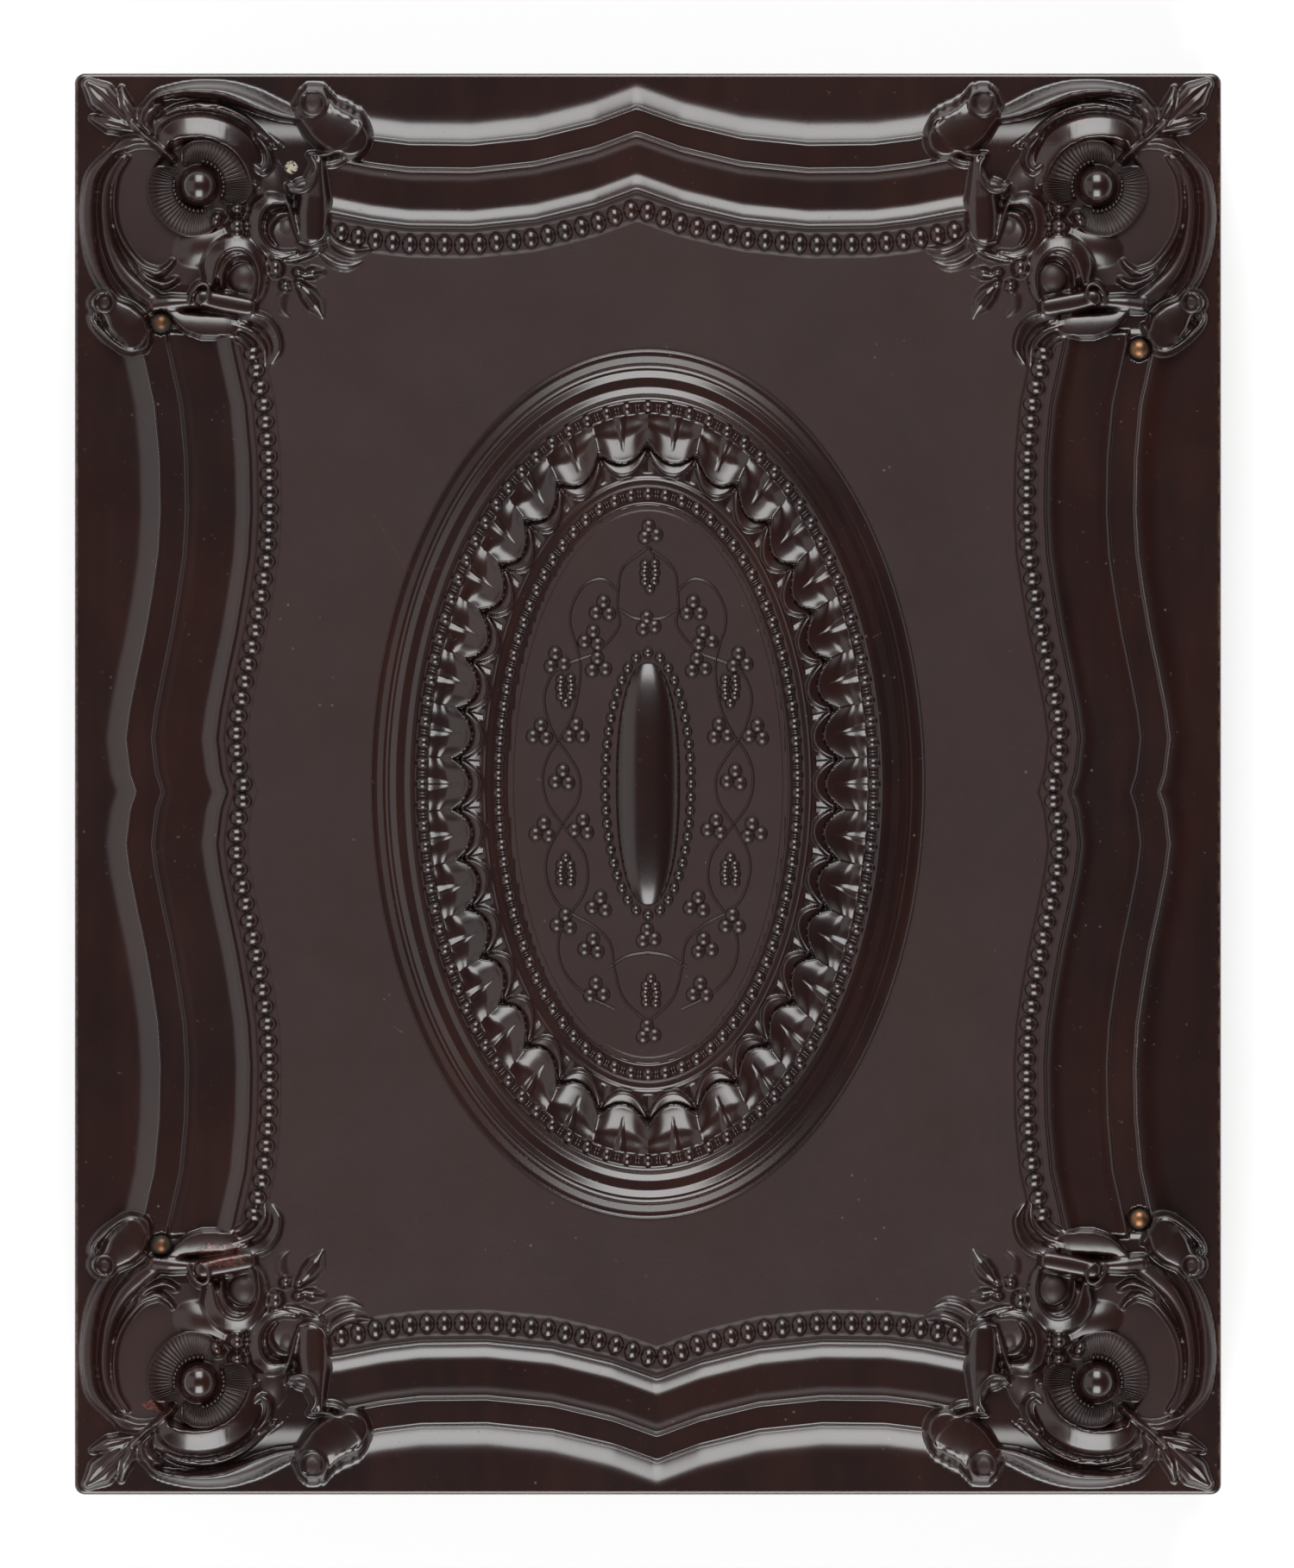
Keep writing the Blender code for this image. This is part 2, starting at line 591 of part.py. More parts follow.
def strap(name, start, rivet_reach, y, width, collection, material):
    """A bent strap and the cutter of its seat, both on the right-hand wall of a half below z 0."""
    path = start + wall_path(rivet_reach)
    half = STRAP_THICKNESS / 2
    made = extruded(name, strip_outline(path, half, half), at_height(y), width, collection, material)
    first, second = Vector(path[0]), Vector(path[1])
    beyond = first + (first - second).normalized() * SEAT_GAP
    last = Vector(path[-1]) + Vector((-SEAT_GAP, 0.0))
    wider = [tuple(beyond)] + path[1:-1] + [tuple(last)]
    seat = extruded(name + "_seat", strip_outline(wider, SEAT_DEPTH_SIDE, CUT_OVERRUN), at_height(y),
                    width + 2 * SEAT_GAP, cutters)
    return made, as_cutter(seat)


def knuckle_spans(own_middle):
    """The spans of a leaf's own knuckles along the hinge, and those that it leaves to the other leaf."""
    half = KNUCKLE_WIDTH / 2
    end = HINGE_WIDTH / 2
    if own_middle:
        free = half - KNUCKLE_GAP / 2
        return [(-half, half)], [(-end - CUT_OVERRUN, -free), (free, end + CUT_OVERRUN)]
    edge = half + KNUCKLE_GAP
    free = edge + KNUCKLE_GAP / 2
    return [(-end, -edge), (edge, end)], [(-free, free)]


def hinge_leaf(name, y, own_middle, collection, material):
    """A hinge leaf with its knuckles, made on the right-hand wall, and the cutters of its place."""
    axis = WALL_X + BARREL_STANDOFF
    start = [(axis, -STRAP_MIDDLE)]
    leaf, seat = strap(name, start, HINGE_RIVET_REACH, y, HINGE_WIDTH, collection, material)
    own, free = knuckle_spans(own_middle)
    reach = BARREL_RADIUS + BARREL_CLEARANCE
    barrels = [cylinder(f"{name}_barrel_{number}", (axis, y + low, 0.0), (axis, y + high, 0.0),
                        BARREL_RADIUS, BARREL_SEGMENTS, cutters) for number, (low, high) in enumerate(own)]
    slots = [box(f"{name}_slot_{number}", (axis - reach, y + low, -reach),
                 (axis + reach, y + high, reach), cutters) for number, (low, high) in enumerate(free)]
    bore = cylinder(name + "_bore", (axis, y - HINGE_WIDTH, 0.0), (axis, y + HINGE_WIDTH, 0.0),
                    PIN_RADIUS + PIN_CLEARANCE, BARREL_SEGMENTS, cutters)
    combine(leaf, "DIFFERENCE", slots)
    combine(leaf, "UNION", barrels)
    combine(leaf, "DIFFERENCE", [bore, rivet_hole(name, HINGE_RIVET_REACH, y)])
    half = HINGE_WIDTH / 2 + SEAT_GAP
    pocket = as_cutter(cylinder(name + "_pocket", (axis, y - half, 0.0), (axis, y + half, 0.0), reach,
                                BARREL_SEGMENTS, cutters))
    return leaf, [seat, pocket]


def rivet_hole(name, rivet_reach, y):
    """The hole that a face rivet takes through a strap."""
    x = HALF_WIDTH - SIDE_WALL - rivet_reach
    return cylinder(name + "_rivet_hole", (x, y, -FIELD_LEVEL), (x, y, -CAVITY_DEPTH + CUT_OVERRUN),
                    RIVET_RADIUS + RIVET_CLEARANCE, RIVET_SEGMENTS, cutters)


def clasp_strap(name, y, stand, collection, material):
    """A clasp's strap, with a leg down the outside of the wall, and the cutter of its seat."""
    outer = WALL_X - STRAP_THICKNESS / 2
    start = [(outer, -stand - OUTER_LEG_TAIL), (outer, -STRAP_MIDDLE)]
    made, seat = strap(name, start, CLASP_RIVET_REACH, y, CLASP_WIDTH, collection, material)
    inside, outside = outer - STRAP_THICKNESS, outer + STRAP_THICKNESS
    hole = cylinder(name + "_stud_hole", (inside, y, -stand), (outside, y, -stand),
                    PIVOT_RADIUS + PIVOT_CLEARANCE, RIVET_SEGMENTS, cutters)
    combine(made, "DIFFERENCE", [hole, rivet_hole(name, CLASP_RIVET_REACH, y)])
    return made, seat


def face_rivet(name, rivet_reach, y, collection, material):
    """A copper pin through the panel, with a domed head on the face, on the right of a half below z 0."""
    seat = -FIELD_LEVEL + RIVET_SEAT_DROP
    base = seat - SEAT_GAP
    dome = [(RIVET_HEAD_RADIUS * math.sin(t), -RIVET_DOME * math.cos(t)) for t in
            np.linspace(0.0, math.pi / 2, DOME_STEPS + 1)]
    inner_end = -CAVITY_DEPTH - STRAP_SINK
    profile = [(0.0, inner_end), (RIVET_RADIUS, inner_end), (RIVET_RADIUS, base), (RIVET_HEAD_RADIUS, base)]
    profile += [(radius, base + height) for radius, height in reversed(dome[:-1])]
    x = HALF_WIDTH - SIDE_WALL - rivet_reach
    return turned(name, profile, (x, y, 0.0), (0.0, 0.0, 1.0), RIVET_SEGMENTS, collection, material)


def rivet_cutters(name, rivet_reach, y):
    """The hole of a face rivet through the panel and the round seat of its head."""
    x = HALF_WIDTH - SIDE_WALL - rivet_reach
    hole = cylinder(name + "_panel_hole", (x, y, -FIELD_LEVEL), (x, y, -CAVITY_DEPTH + CUT_OVERRUN),
                    RIVET_RADIUS + RIVET_CLEARANCE, RIVET_SEGMENTS, cutters)
    outside, bed = -FIELD_LEVEL - CUT_OVERRUN, -FIELD_LEVEL + RIVET_SEAT_DROP
    seat = cylinder(name + "_head_seat", (x, y, outside), (x, y, bed), RIVET_HEAD_RADIUS + RIVET_CLEARANCE,
                    RIVET_SEGMENTS, cutters)
    return [as_cutter(hole), as_cutter(seat)]


def half_shell(name, inside, holes, material):
    """One moulded half: its solid, made above z 0 and turned over, less the holes of a half below z 0."""
    shell = loft(name, inside + wall_rings() + relief_rings(), case, material)
    combine(shell, "UNION", corner_ornaments(name, cutters) + [medallion_leaves(name, cutters)])
    turn_over([shell] + [m.object for m in shell.modifiers])
    combine(shell, "DIFFERENCE", holes)
    return shell


def move(objects, matrix):
    """Bakes a move into the meshes of objects."""
    for made in objects:
        made.data.transform(matrix)
        if matrix.is_negative:
            made.data.flip_normals()


def turn_over(objects):
    """Turns a half about the X axis, from above the parting plane to below it."""
    move(objects, Matrix.Rotation(math.pi, 4, "X"))


def with_modifier_objects(objects):
    """Objects and everything that their Boolean modifiers use, each once."""
    found = []
    for made in objects:
        for one in [made] + [m.object for m in made.modifiers if m.type == "BOOLEAN"]:
            if one not in found:
                found.append(one)
    return found


def hook(name, y, swing, collection, material):
    """A swinging hook, parked level and pointing along Y by its swing: an eye, an arm and a slotted end.

    The slot opens upward in this pose, so it takes the stud once the hook has swung up to point along Z."""
    low, high = HOOK_START, HOOK_START + HOOK_THICKNESS
    level = -PIVOT_DROP
    end = y + swing * HOOK_ARM
    half = HOOK_ARM_WIDTH / 2
    neck = PIVOT_RADIUS + PIVOT_CLEARANCE
    rise = HOOK_ARM - math.sqrt(HOOK_ARM ** 2 - HOOK_END_RADIUS ** 2)
    outside, inside = high + CUT_OVERRUN, low - CUT_OVERRUN
    made = cylinder(name, (low, y, level), (high, y, level), HOOK_EYE_RADIUS, HOOK_SEGMENTS, collection,
                    material)
    near, far = sorted((y, end))
    arm = box(name + "_arm", (low + HOOK_ARM_RELIEF, near, level - half),
              (high - HOOK_ARM_RELIEF, far, level + half), cutters)
    head = cylinder(name + "_end", (low, end, level), (high, end, level), HOOK_END_RADIUS, HOOK_SEGMENTS,
                    cutters)
    eye = cylinder(name + "_eye", (inside, y, level), (outside, y, level), neck, RIVET_SEGMENTS, cutters)
    seat = cylinder(name + "_seat", (inside, end, level), (outside, end, level), neck, RIVET_SEGMENTS,
                    cutters)
    shy = PIVOT_RADIUS + PIVOT_CLEARANCE / 2
    near, far = sorted((end + swing * shy, end - swing * (neck + rise)))
    top = level + HOOK_END_RADIUS + CUT_OVERRUN
    slot = box(name + "_slot", (inside, near, level), (outside, far, top), cutters)
    combine(made, "UNION", [arm, head])
    combine(made, "DIFFERENCE", [eye, seat, slot])
    return made


def headed_pin(name, y, height, collection, material):
    """A clasp's pivot or stud: a shank in the strap and a low domed head outside the hook."""
    start = WALL_X - STRAP_THICKNESS
    dome = [(PIVOT_HEAD_RADIUS * math.sin(t), HEAD_START + PIVOT_HEAD_HEIGHT * math.cos(t)) for t in
            np.linspace(0.0, math.pi / 2, DOME_STEPS + 1)]
    profile = dome + [(PIVOT_RADIUS, HEAD_START), (PIVOT_RADIUS, start), (0.0, start)]
    return turned(name, profile, (0.0, y, height), (1.0, 0.0, 0.0), RIVET_SEGMENTS, collection, material)


def framed(name, width, height, low, high, window, collection, material):
    """A flat rectangular piece with a window cut by another object."""
    made = box(name, (-width / 2, -height / 2, low), (width / 2, height / 2, high), collection, material)
    return combine(made, "DIFFERENCE", window)


def packet(collection, metal, silver, clear):
    """The plate, its mat, the cover glass and the preserver round them, stacked on the base's floor."""
    floor = -CAVITY_DEPTH + SEAT_GAP
    plate_top = floor + PLATE_THICKNESS
    mat_low = plate_top + SEAT_GAP
    glass_low = mat_low + MAT_THICKNESS + SEAT_GAP
    lip_low = glass_low + GLASS_THICKNESS + SEAT_GAP
    lip_top = lip_low + PRESERVER_WALL
    half = (PLATE_WIDTH / 2, PLATE_HEIGHT / 2)
    box("image_plate", (-half[0], -half[1], floor), (half[0], half[1], plate_top), collection, silver)
    oval = cylinder("mat_window", (0.0, 0.0, mat_low - CUT_OVERRUN), (0.0, 0.0, lip_top + CUT_OVERRUN), 1.0,
                    MAT_WINDOW_SEGMENTS, cutters)
    move([oval], Matrix.Diagonal((MAT_WINDOW_WIDTH / 2, MAT_WINDOW_HEIGHT / 2, 1.0, 1.0)))
    framed("brass_mat", PLATE_WIDTH, PLATE_HEIGHT, mat_low, mat_low + MAT_THICKNESS, [oval], collection,
           metal)
    glass_top = glass_low + GLASS_THICKNESS
    box("cover_glass", (-half[0], -half[1], glass_low), (half[0], half[1], glass_top), collection, clear)
    inner = (PRESERVER_WIDTH / 2 - PRESERVER_WALL, PRESERVER_HEIGHT / 2 - PRESERVER_WALL)
    pocket = box("preserver_pocket", (-inner[0], -inner[1], floor - CUT_OVERRUN),
                 (inner[0], inner[1], lip_low), cutters)
    sight = (PRESERVER_WIDTH / 2 - PRESERVER_LIP, PRESERVER_HEIGHT / 2 - PRESERVER_LIP)
    window = box("preserver_window", (-sight[0], -sight[1], floor),
                 (sight[0], sight[1], lip_top + CUT_OVERRUN), cutters)
    framed("preserver_frame", PRESERVER_WIDTH, PRESERVER_HEIGHT, floor, lip_top, [pocket, window], collection,
           metal)


def velvet_strip(collection, material):
    """The velvet-covered strip round the inside of the base's wall, which holds the packet in."""
    floor = -CAVITY_DEPTH + SEAT_GAP
    outer = (CAVITY_WIDTH / 2 - SEAT_GAP, CAVITY_HEIGHT / 2 - SEAT_GAP)
    inner = (outer[0] - STRIP_THICKNESS, outer[1] - STRIP_THICKNESS)
    made = box("velvet_strip", (-outer[0], -outer[1], floor), (outer[0], outer[1], floor + STRIP_HEIGHT),
               collection, material, CAVITY_RADIUS)
    hollow = box("strip_hollow", (-inner[0], -inner[1], floor - CUT_OVERRUN),
                 (inner[0], inner[1], floor + STRIP_HEIGHT + CUT_OVERRUN), cutters)
    return combine(made, "DIFFERENCE", [hollow])


def pad(collection, velvet, card):
    """The cover's pad: a board against the roof and a crowned cushion under it, whose sides draw in."""
    top = CAVITY_DEPTH - SEAT_GAP
    x = CAVITY_WIDTH / 2 - PAD_CLEARANCE
    y = CAVITY_HEIGHT / 2 - PAD_CLEARANCE
    board_low = top - PAD_BOARD_THICKNESS
    box("pad_board", (-x, -y, board_low), (x, y, top), collection, card)
    cushion_top = board_low - SEAT_GAP
    middle = cushion_top - (PAD_THICKNESS - PAD_CROWN)
    work = bmesh.new()
    bmesh.ops.create_grid(work, x_segments=PAD_COLUMNS, y_segments=PAD_ROWS, size=1.0)
    for vert in work.verts:
        round_x, round_y = 1 - vert.co.x ** 4, 1 - vert.co.y ** 4
        draw_x = 1 - PAD_DRAW_SHARE * (1 - vert.co.y ** 2)
        draw_y = 1 - PAD_DRAW_SHARE * (1 - vert.co.x ** 2)
        level = middle - PAD_CROWN * min(round_x, round_y)
        vert.co = Vector((vert.co.x * x * draw_x, vert.co.y * y * draw_y, level))
    made = bmesh.ops.extrude_face_region(work, geom=work.faces[:])
    upper = [item for item in made["geom"] if isinstance(item, bmesh.types.BMVert)]
    for vert in upper:
        vert.co.z = cushion_top
    bmesh.ops.recalc_face_normals(work, faces=work.faces)
    return object_from_bmesh("velvet_pad", work, collection, velvet)


def place(objects, matrix, parent):
    """Moves objects made about the parting plane to their place, and parents them to their body's empty."""
    for made in with_modifier_objects(objects):
        made.matrix_world = matrix @ made.matrix_world
    bpy.context.view_layer.update()
    for made in objects:
        world = made.matrix_world.copy()
        made.parent = parent
        made.matrix_parent_inverse = parent.matrix_world.inverted()
        made.matrix_world = world


def body_empty(name, location):
    made = bpy.data.objects.new(name, None)
    case.objects.link(made)
    made.location = location
    bpy.context.view_layer.update()
    return made


def build():
    """Makes each half about the parting plane as a half below z 0, then moves it to its place."""
    moulded = new_material("moulded_brown", (0.028, 0.013, 0.011), 0.32)
    brass = new_material("gilt_brass", (0.62, 0.42, 0.16), 0.3, 1.0)
    copper = new_material("copper_pin", (0.48, 0.22, 0.10), 0.4, 1.0)
    silver = new_material("silvered_plate", (0.62, 0.61, 0.58), 0.12, 1.0)
    clear = new_material("cover_glass", (0.9, 0.94, 0.92), 0.05)
    velvet = new_material("red_velvet", (0.20, 0.012, 0.022), 0.9)
    card = new_material("pad_card", (0.42, 0.33, 0.22), 0.85)

    to_hinge_side = Matrix.Diagonal((-1.0, 1.0, 1.0, 1.0))
    parts = {"base": [], "cover": []}
    for half, turn in (("base", 1), ("cover", -1)):
        holes = []
        for word, side in (("upper", turn), ("lower", -turn)):
            y = side * HINGE_Y
            leaf_name = f"{half}_hinge_leaf_{word}"
            leaf, seats = hinge_leaf(leaf_name, y, half == "cover", case, brass)
            seats += rivet_cutters(f"{half}_hinge_rivet_{word}", HINGE_RIVET_REACH, y)
            rivet = face_rivet(f"{half}_hinge_rivet_{word}", HINGE_RIVET_REACH, y, case, copper)
            move(with_modifier_objects([leaf]) + seats, to_hinge_side)
            rivet.location.x = -rivet.location.x
            parts[half] += [leaf, rivet]
            holes += seats
            y = side * CLASP_Y
            stand = PIVOT_DROP if half == "base" else STUD_RISE
            clasp_name = f"{half}_clasp_strap_{word}"
            clasp, seat = clasp_strap(clasp_name, y, stand, case, brass)
            holes += [seat] + rivet_cutters(f"{half}_clasp_rivet_{word}", CLASP_RIVET_REACH, y)
            rivet = face_rivet(f"{half}_clasp_rivet_{word}", CLASP_RIVET_REACH, y, case, copper)
            parts[half] += [clasp, rivet]
            pin_name = f"clasp_pivot_{word}" if half == "base" else f"clasp_stud_{word}"
            parts[half].append(headed_pin(pin_name, y, -stand, case, brass))
        inside = base_inside() if half == "base" else cover_inside()
        parts[half].append(half_shell(f"{half}_shell", inside, holes, moulded))

    for word, side in (("upper", 1), ("lower", -1)):
        y = side * HINGE_Y
        ends = [(AXIS_X, y + side * HINGE_WIDTH / 2, 0.0) for side in (-1, 1)]
        pin = cylinder(f"hinge_pin_{word}", *ends, PIN_RADIUS, BARREL_SEGMENTS, case, brass)
        parts["base"].append(pin)
    before = set(case.objects)
    packet(case, brass, silver, clear)
    velvet_strip(case, velvet)
    parts["base"] += [made for made in case.objects if made not in before]
    before = set(case.objects)
    pad(case, velvet, card)
    pad_parts = [made for made in case.objects if made not in before]

    lift = Matrix.Translation((0.0, 0.0, PARTING_Z))
    base_body = body_empty("base_body", (0.0, 0.0, 0.0))
    cover_body = body_empty("cover_body", (AXIS_X, 0.0, PARTING_Z))
    place(parts["base"], lift, base_body)
    place(parts["cover"], lift @ Matrix.Rotation(math.pi, 4, "X"), cover_body)
    place(pad_parts, lift, cover_body)
    for word, side in (("upper", 1), ("lower", -1)):
        y = side * CLASP_Y
        body = body_empty(f"clasp_hook_{word}_body", (HOOK_START, y, PARTING_Z - PIVOT_DROP))
        made = hook(f"clasp_hook_{word}", y, -side, case, brass)
        place([made], lift, body)

    for made in case.objects:
        if made.type == "MESH":
            made.data.shade_smooth()
            made.data.set_sharp_from_angle(angle=math.radians(35))


clear_scene()
case = new_collection("union_case")
cutters = new_collection("cutters", hidden=True)
build()
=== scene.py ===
"""Looks of a moulded union case: carved faces, riveted brass, velvet and a framed plate, on its solids.

The frame is in metres with +Z up. Tables and shapes below are in millimetres, and MM turns them into metres.
A place in a corner is given as its reach in from the case's side edge and from its end edge.
"""

import math

import bmesh
import bpy
import numpy as np
from bpy.props import FloatProperty, FloatVectorProperty, IntProperty, PointerProperty
from bpy.types import Operator, Panel, PropertyGroup
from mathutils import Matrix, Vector


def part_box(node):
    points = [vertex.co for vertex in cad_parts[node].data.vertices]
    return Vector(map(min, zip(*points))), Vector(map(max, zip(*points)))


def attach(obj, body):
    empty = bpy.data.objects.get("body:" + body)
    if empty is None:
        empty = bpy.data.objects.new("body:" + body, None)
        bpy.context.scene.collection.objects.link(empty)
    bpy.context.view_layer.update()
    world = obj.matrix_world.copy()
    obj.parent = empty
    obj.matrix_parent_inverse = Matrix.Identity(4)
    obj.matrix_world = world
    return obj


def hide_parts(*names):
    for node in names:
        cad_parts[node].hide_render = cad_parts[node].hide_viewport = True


bl_info = {
    "name": "Union case dresser",
    "version": (1, 0, 0),
    "blender": (4, 5, 0),
    "location": "3D View > Sidebar > Union case",
    "description": "Carves, lines and finishes a moulded union case round its packed solids",
    "category": "Object",
}

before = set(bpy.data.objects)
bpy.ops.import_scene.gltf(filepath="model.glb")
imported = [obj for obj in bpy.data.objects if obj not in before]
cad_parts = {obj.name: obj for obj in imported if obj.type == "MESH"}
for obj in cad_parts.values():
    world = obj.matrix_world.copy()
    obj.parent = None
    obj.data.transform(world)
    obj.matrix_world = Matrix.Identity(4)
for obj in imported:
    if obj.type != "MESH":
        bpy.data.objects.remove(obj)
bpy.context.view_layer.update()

MM = 0.001
HALVES = ("cover", "base")
MERGE_DISTANCE = 0.000001
SOLID_SHARP_DEGREES, MAT_SHARP_DEGREES, PRESERVER_SHARP_DEGREES = 35.0, 40.0, 50.0
QUICK_COARSENING = 1.0
HALF_WIDTH, HALF_HEIGHT, CASE_TOP = (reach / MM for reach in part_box("cover_shell")[1])
TOP_RISE = 1.6
SINK = 0.05
FIELD = CASE_TOP - TOP_RISE
MARGIN = -1.4
EDGE_ROUND = 0.4
CORNER_ROUND = 1.1

# The frame's three ridges, as depths from the outline where its wave is nought, and its waves.
END_RIDGES = (3.6, 6.7, 12.6)
SIDE_RIDGES = (5.6, 8.7, 15.4)
END_WAVE = 4.0
SIDE_WAVE = 3.7
END_PLACE_SHARES = (0.0, 0.076, 0.18, 0.293, 0.405, 0.473, 0.544, 0.70, 1.0)
END_WAVE_SHARES = (0.0, 0.43, 0.82, 1.0, 0.98, 0.85, 0.63, 0.30, 0.0)
SIDE_PLACE_SHARES = (0.0, 0.026, 0.074, 0.112, 0.168, 0.222, 0.278, 0.33, 0.39, 0.464, 0.538, 0.62, 0.75,
                     1.0)
SIDE_WAVE_SHARES = (0.3, 0.12, 0.0, 0.10, 0.33, 0.57, 0.77, 0.93, 1.0, 0.97, 0.83, 0.45, 0.2, 0.0)
TOP_CUSP = -1.2
BOTTOM_CUSP = 1.0
SIDE_CUSP = -0.85

# The frame's section, inward: ridge it belongs to, start and end from that ridge, rise, and how it eases.
SECTION = (
    (0, -2.9, -0.1, 0.93, "in"),
    (0, 0.0, 0.25, -0.25, "even"),
    (1, -0.32, -0.05, 0.45, "even"),
    (1, 0.02, 0.09, -0.13, "even"),
    (1, 0.2, 1.3, 0.1, "both"),
    (2, -2.05, -0.08, 0.8, "in"),
    (2, 0.05, 0.2, -0.5, "even"),
    (2, 0.75, 0.95, -0.15, "both"),
    (2, 3.2, 3.5, 0.15, "both"),
)
# Its beads and the teeth of its line: where the runs start from the case's edges, and the pitch.
BEAD_DEPTH, BEAD_STARTS, BEAD_PITCH = 2.05, (28.9, 30.4), 1.9
TOOTH_STARTS, TOOTH_PITCH = (31.0, 29.8), 0.18
END_RUN_PLACES, SIDE_RUN_PLACES = 700, 900
# Depths at which a face's grid takes up the frame's wave and lets go of it, and the corner squares' size.
WARP_START, WARP_FULL, WARP_EASE, WARP_END = 0.5, 2.4, 19.5, 32.0
CORNER_SPAN = 33.0
# Where the frame begins past a corner, along an end in two steps and along a side, and how far it fades in.
END_FRAME_STARTS = (30.0, 27.6)
SIDE_FRAME_START = 28.4
END_FRAME_SPLIT = 9.2
FRAME_FADE = 0.8
# The flat seat of a pin: its radius and its level.
PIN_SEAT, PIN_SEAT_LEVEL = 1.32, -0.95

RELIEF_STEP = 0.14
PLAIN_STEP = 0.45

# The oval medallion: half axes of its outer and inner edges, and its parts as shares of the run inward.
OVAL_OUTER = (30.05, 47.13)
OVAL_INNER = (14.37, 29.4)
OVAL_UNITS = 34
OVAL_LAP_OUTER, OVAL_LAP_INNER = 0.7, 0.5
OVAL_RUN_SHARES = (0.0, 0.006, 0.012, 0.02, 0.044, 0.092, 0.097, 0.104, 0.122, 0.13, 0.137, 0.176, 0.182,
                   0.234, 0.242, 0.272, 0.3, 0.312, 0.322, 0.388, 0.402)
OVAL_HEIGHTS = (-0.1, 0.22, 0.25, 0.13, 0.13, 0.31, 0.26, 0.26, 0.35, 0.35, 0.36, 0.7, 0.71, 0.72, 0.75,
                1.0, 1.07, 0.94, 0.78, 0.78, 0.82)
LEAF_START_SHARE, LEAF_TIP_SHARE, LEAF_ARC_SHARE = 0.405, 0.684, 0.12
EGG_SHARE = 0.042
INNER_RUN_SHARES = (0.775, 0.784, 0.789, 0.794, 0.8, 0.83, 0.85, 0.942, 0.952, 0.98, 0.988, 1.0)
INNER_HEIGHTS = (0.34, 0.37, 0.45, 0.45, 0.36, 0.31, 0.22, 0.22, -0.05, -0.05, 0.06, -0.1)
# Its rings of beads: share of the run, count, half sizes, foot, rise, and the rise of the reels between.
MEDALLION_BEADS = ((0.36, 92, (0.62, 0.7), 0.72, 0.5, 0.3), (0.884, 82, (0.68, 0.68), 0.15, 0.54, 0.32))
REEL_HALVES, REEL_PLACES = (0.13, 0.5), (0.43, 0.57)
# Columns in each leaf and rows over the whole run of each half's medallion.
MEDALLION_GRIDS = {"cover": (32, 150), "base": (18, 90)}
FAN_COLUMNS = {"cover": 5, "base": 3}
# The boss with its beads, and the sprays' berries, grapes and vines.
BOSS_HALVES, BOSS_FULLNESS, BOSS_PAST_TOP, BOSS_GRID = (3.5, 13.2), (0.92, 0.86), 0.03, (18, 96)
BOSS_BEADS_OVAL, BOSS_BEADS = (4.65, 14.2), 44
BERRY_SPREADS, GRAPE_SPREAD = (0.8, 0.7), 0.5
VINE_RADIUS, VINE_LEVEL, VINE_STEP = 0.15, 0.03, 0.3


def new_mesh(name, points, faces):
    """A smooth mesh from points in millimetres and faces of four corners, less any repeated corner."""
    kept = faces != np.roll(faces, -1, axis=1)
    sizes = kept.sum(axis=1)
    mesh = bpy.data.meshes.new(name)
    mesh.vertices.add(len(points))
    mesh.vertices.foreach_set("co", (np.asarray(points) * MM).astype(np.float32).ravel())
    mesh.loops.add(int(sizes.sum()))
    mesh.loops.foreach_set("vertex_index", faces[kept].astype(np.int32))
    mesh.polygons.add(len(faces))
    mesh.polygons.foreach_set("loop_start", (np.cumsum(sizes) - sizes).astype(np.int32))
    mesh.update(calc_edges=True)
    mesh.validate()
    mesh.shade_smooth()
    return mesh


def placed(name, mesh, body, finish, replaced):
    """An object of a mesh with its finish, which rides on a body and may stand for solids."""
    mesh.materials.clear()
    mesh.materials.append(finish)
    made = bpy.data.objects.new(name, mesh)
    bpy.context.scene.collection.objects.link(made)
    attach(made, body)
    if replaced:
        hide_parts(*replaced)
    return made


def new_piece(name, body, finish, points, faces, marks=None, normals=None, replaced=()):
    """A piece of the case that rides on a body, with its finish, its slot and marks that the finish reads."""
    mesh = new_mesh(name, points, faces)
    for mark, values in (marks or {}).items():
        layer = mesh.attributes.new(mark, "FLOAT", "POINT")
        layer.data.foreach_set("value", values.astype(np.float32).ravel())
    if normals is not None:
        mesh.normals_split_custom_set_from_vertices(normals.astype(np.float32))
    return placed(name, mesh, body, finish, replaced)


def grid_faces(rows, columns, wrapped=False):
    """Faces over a grid of rows and columns, turned to the side from which rows run left of the columns."""
    index = np.arange(rows * columns).reshape(rows, columns)
    if wrapped:
        index = np.concatenate([index, index[:, :1]], axis=1)
    corners = [index[:-1, :-1], index[:-1, 1:], index[1:, 1:], index[1:, :-1]]
    return np.stack(corners, axis=-1).reshape(-1, 4)


def many_faces(count, size, faces):
    """The faces of one form repeated for each copy of it."""
    return (np.arange(count)[:, None, None] * size + faces[None]).reshape(-1, faces.shape[1])


def stacked(parts):
    """Joins pairs of points and faces into one pair, counting the faces' indices on."""
    points, faces, start = [], [], 0
    for some_points, some_faces in parts:
        points.append(some_points)
        faces.append(some_faces + start)
        start += len(some_points)
    return np.concatenate(points), np.concatenate(faces)


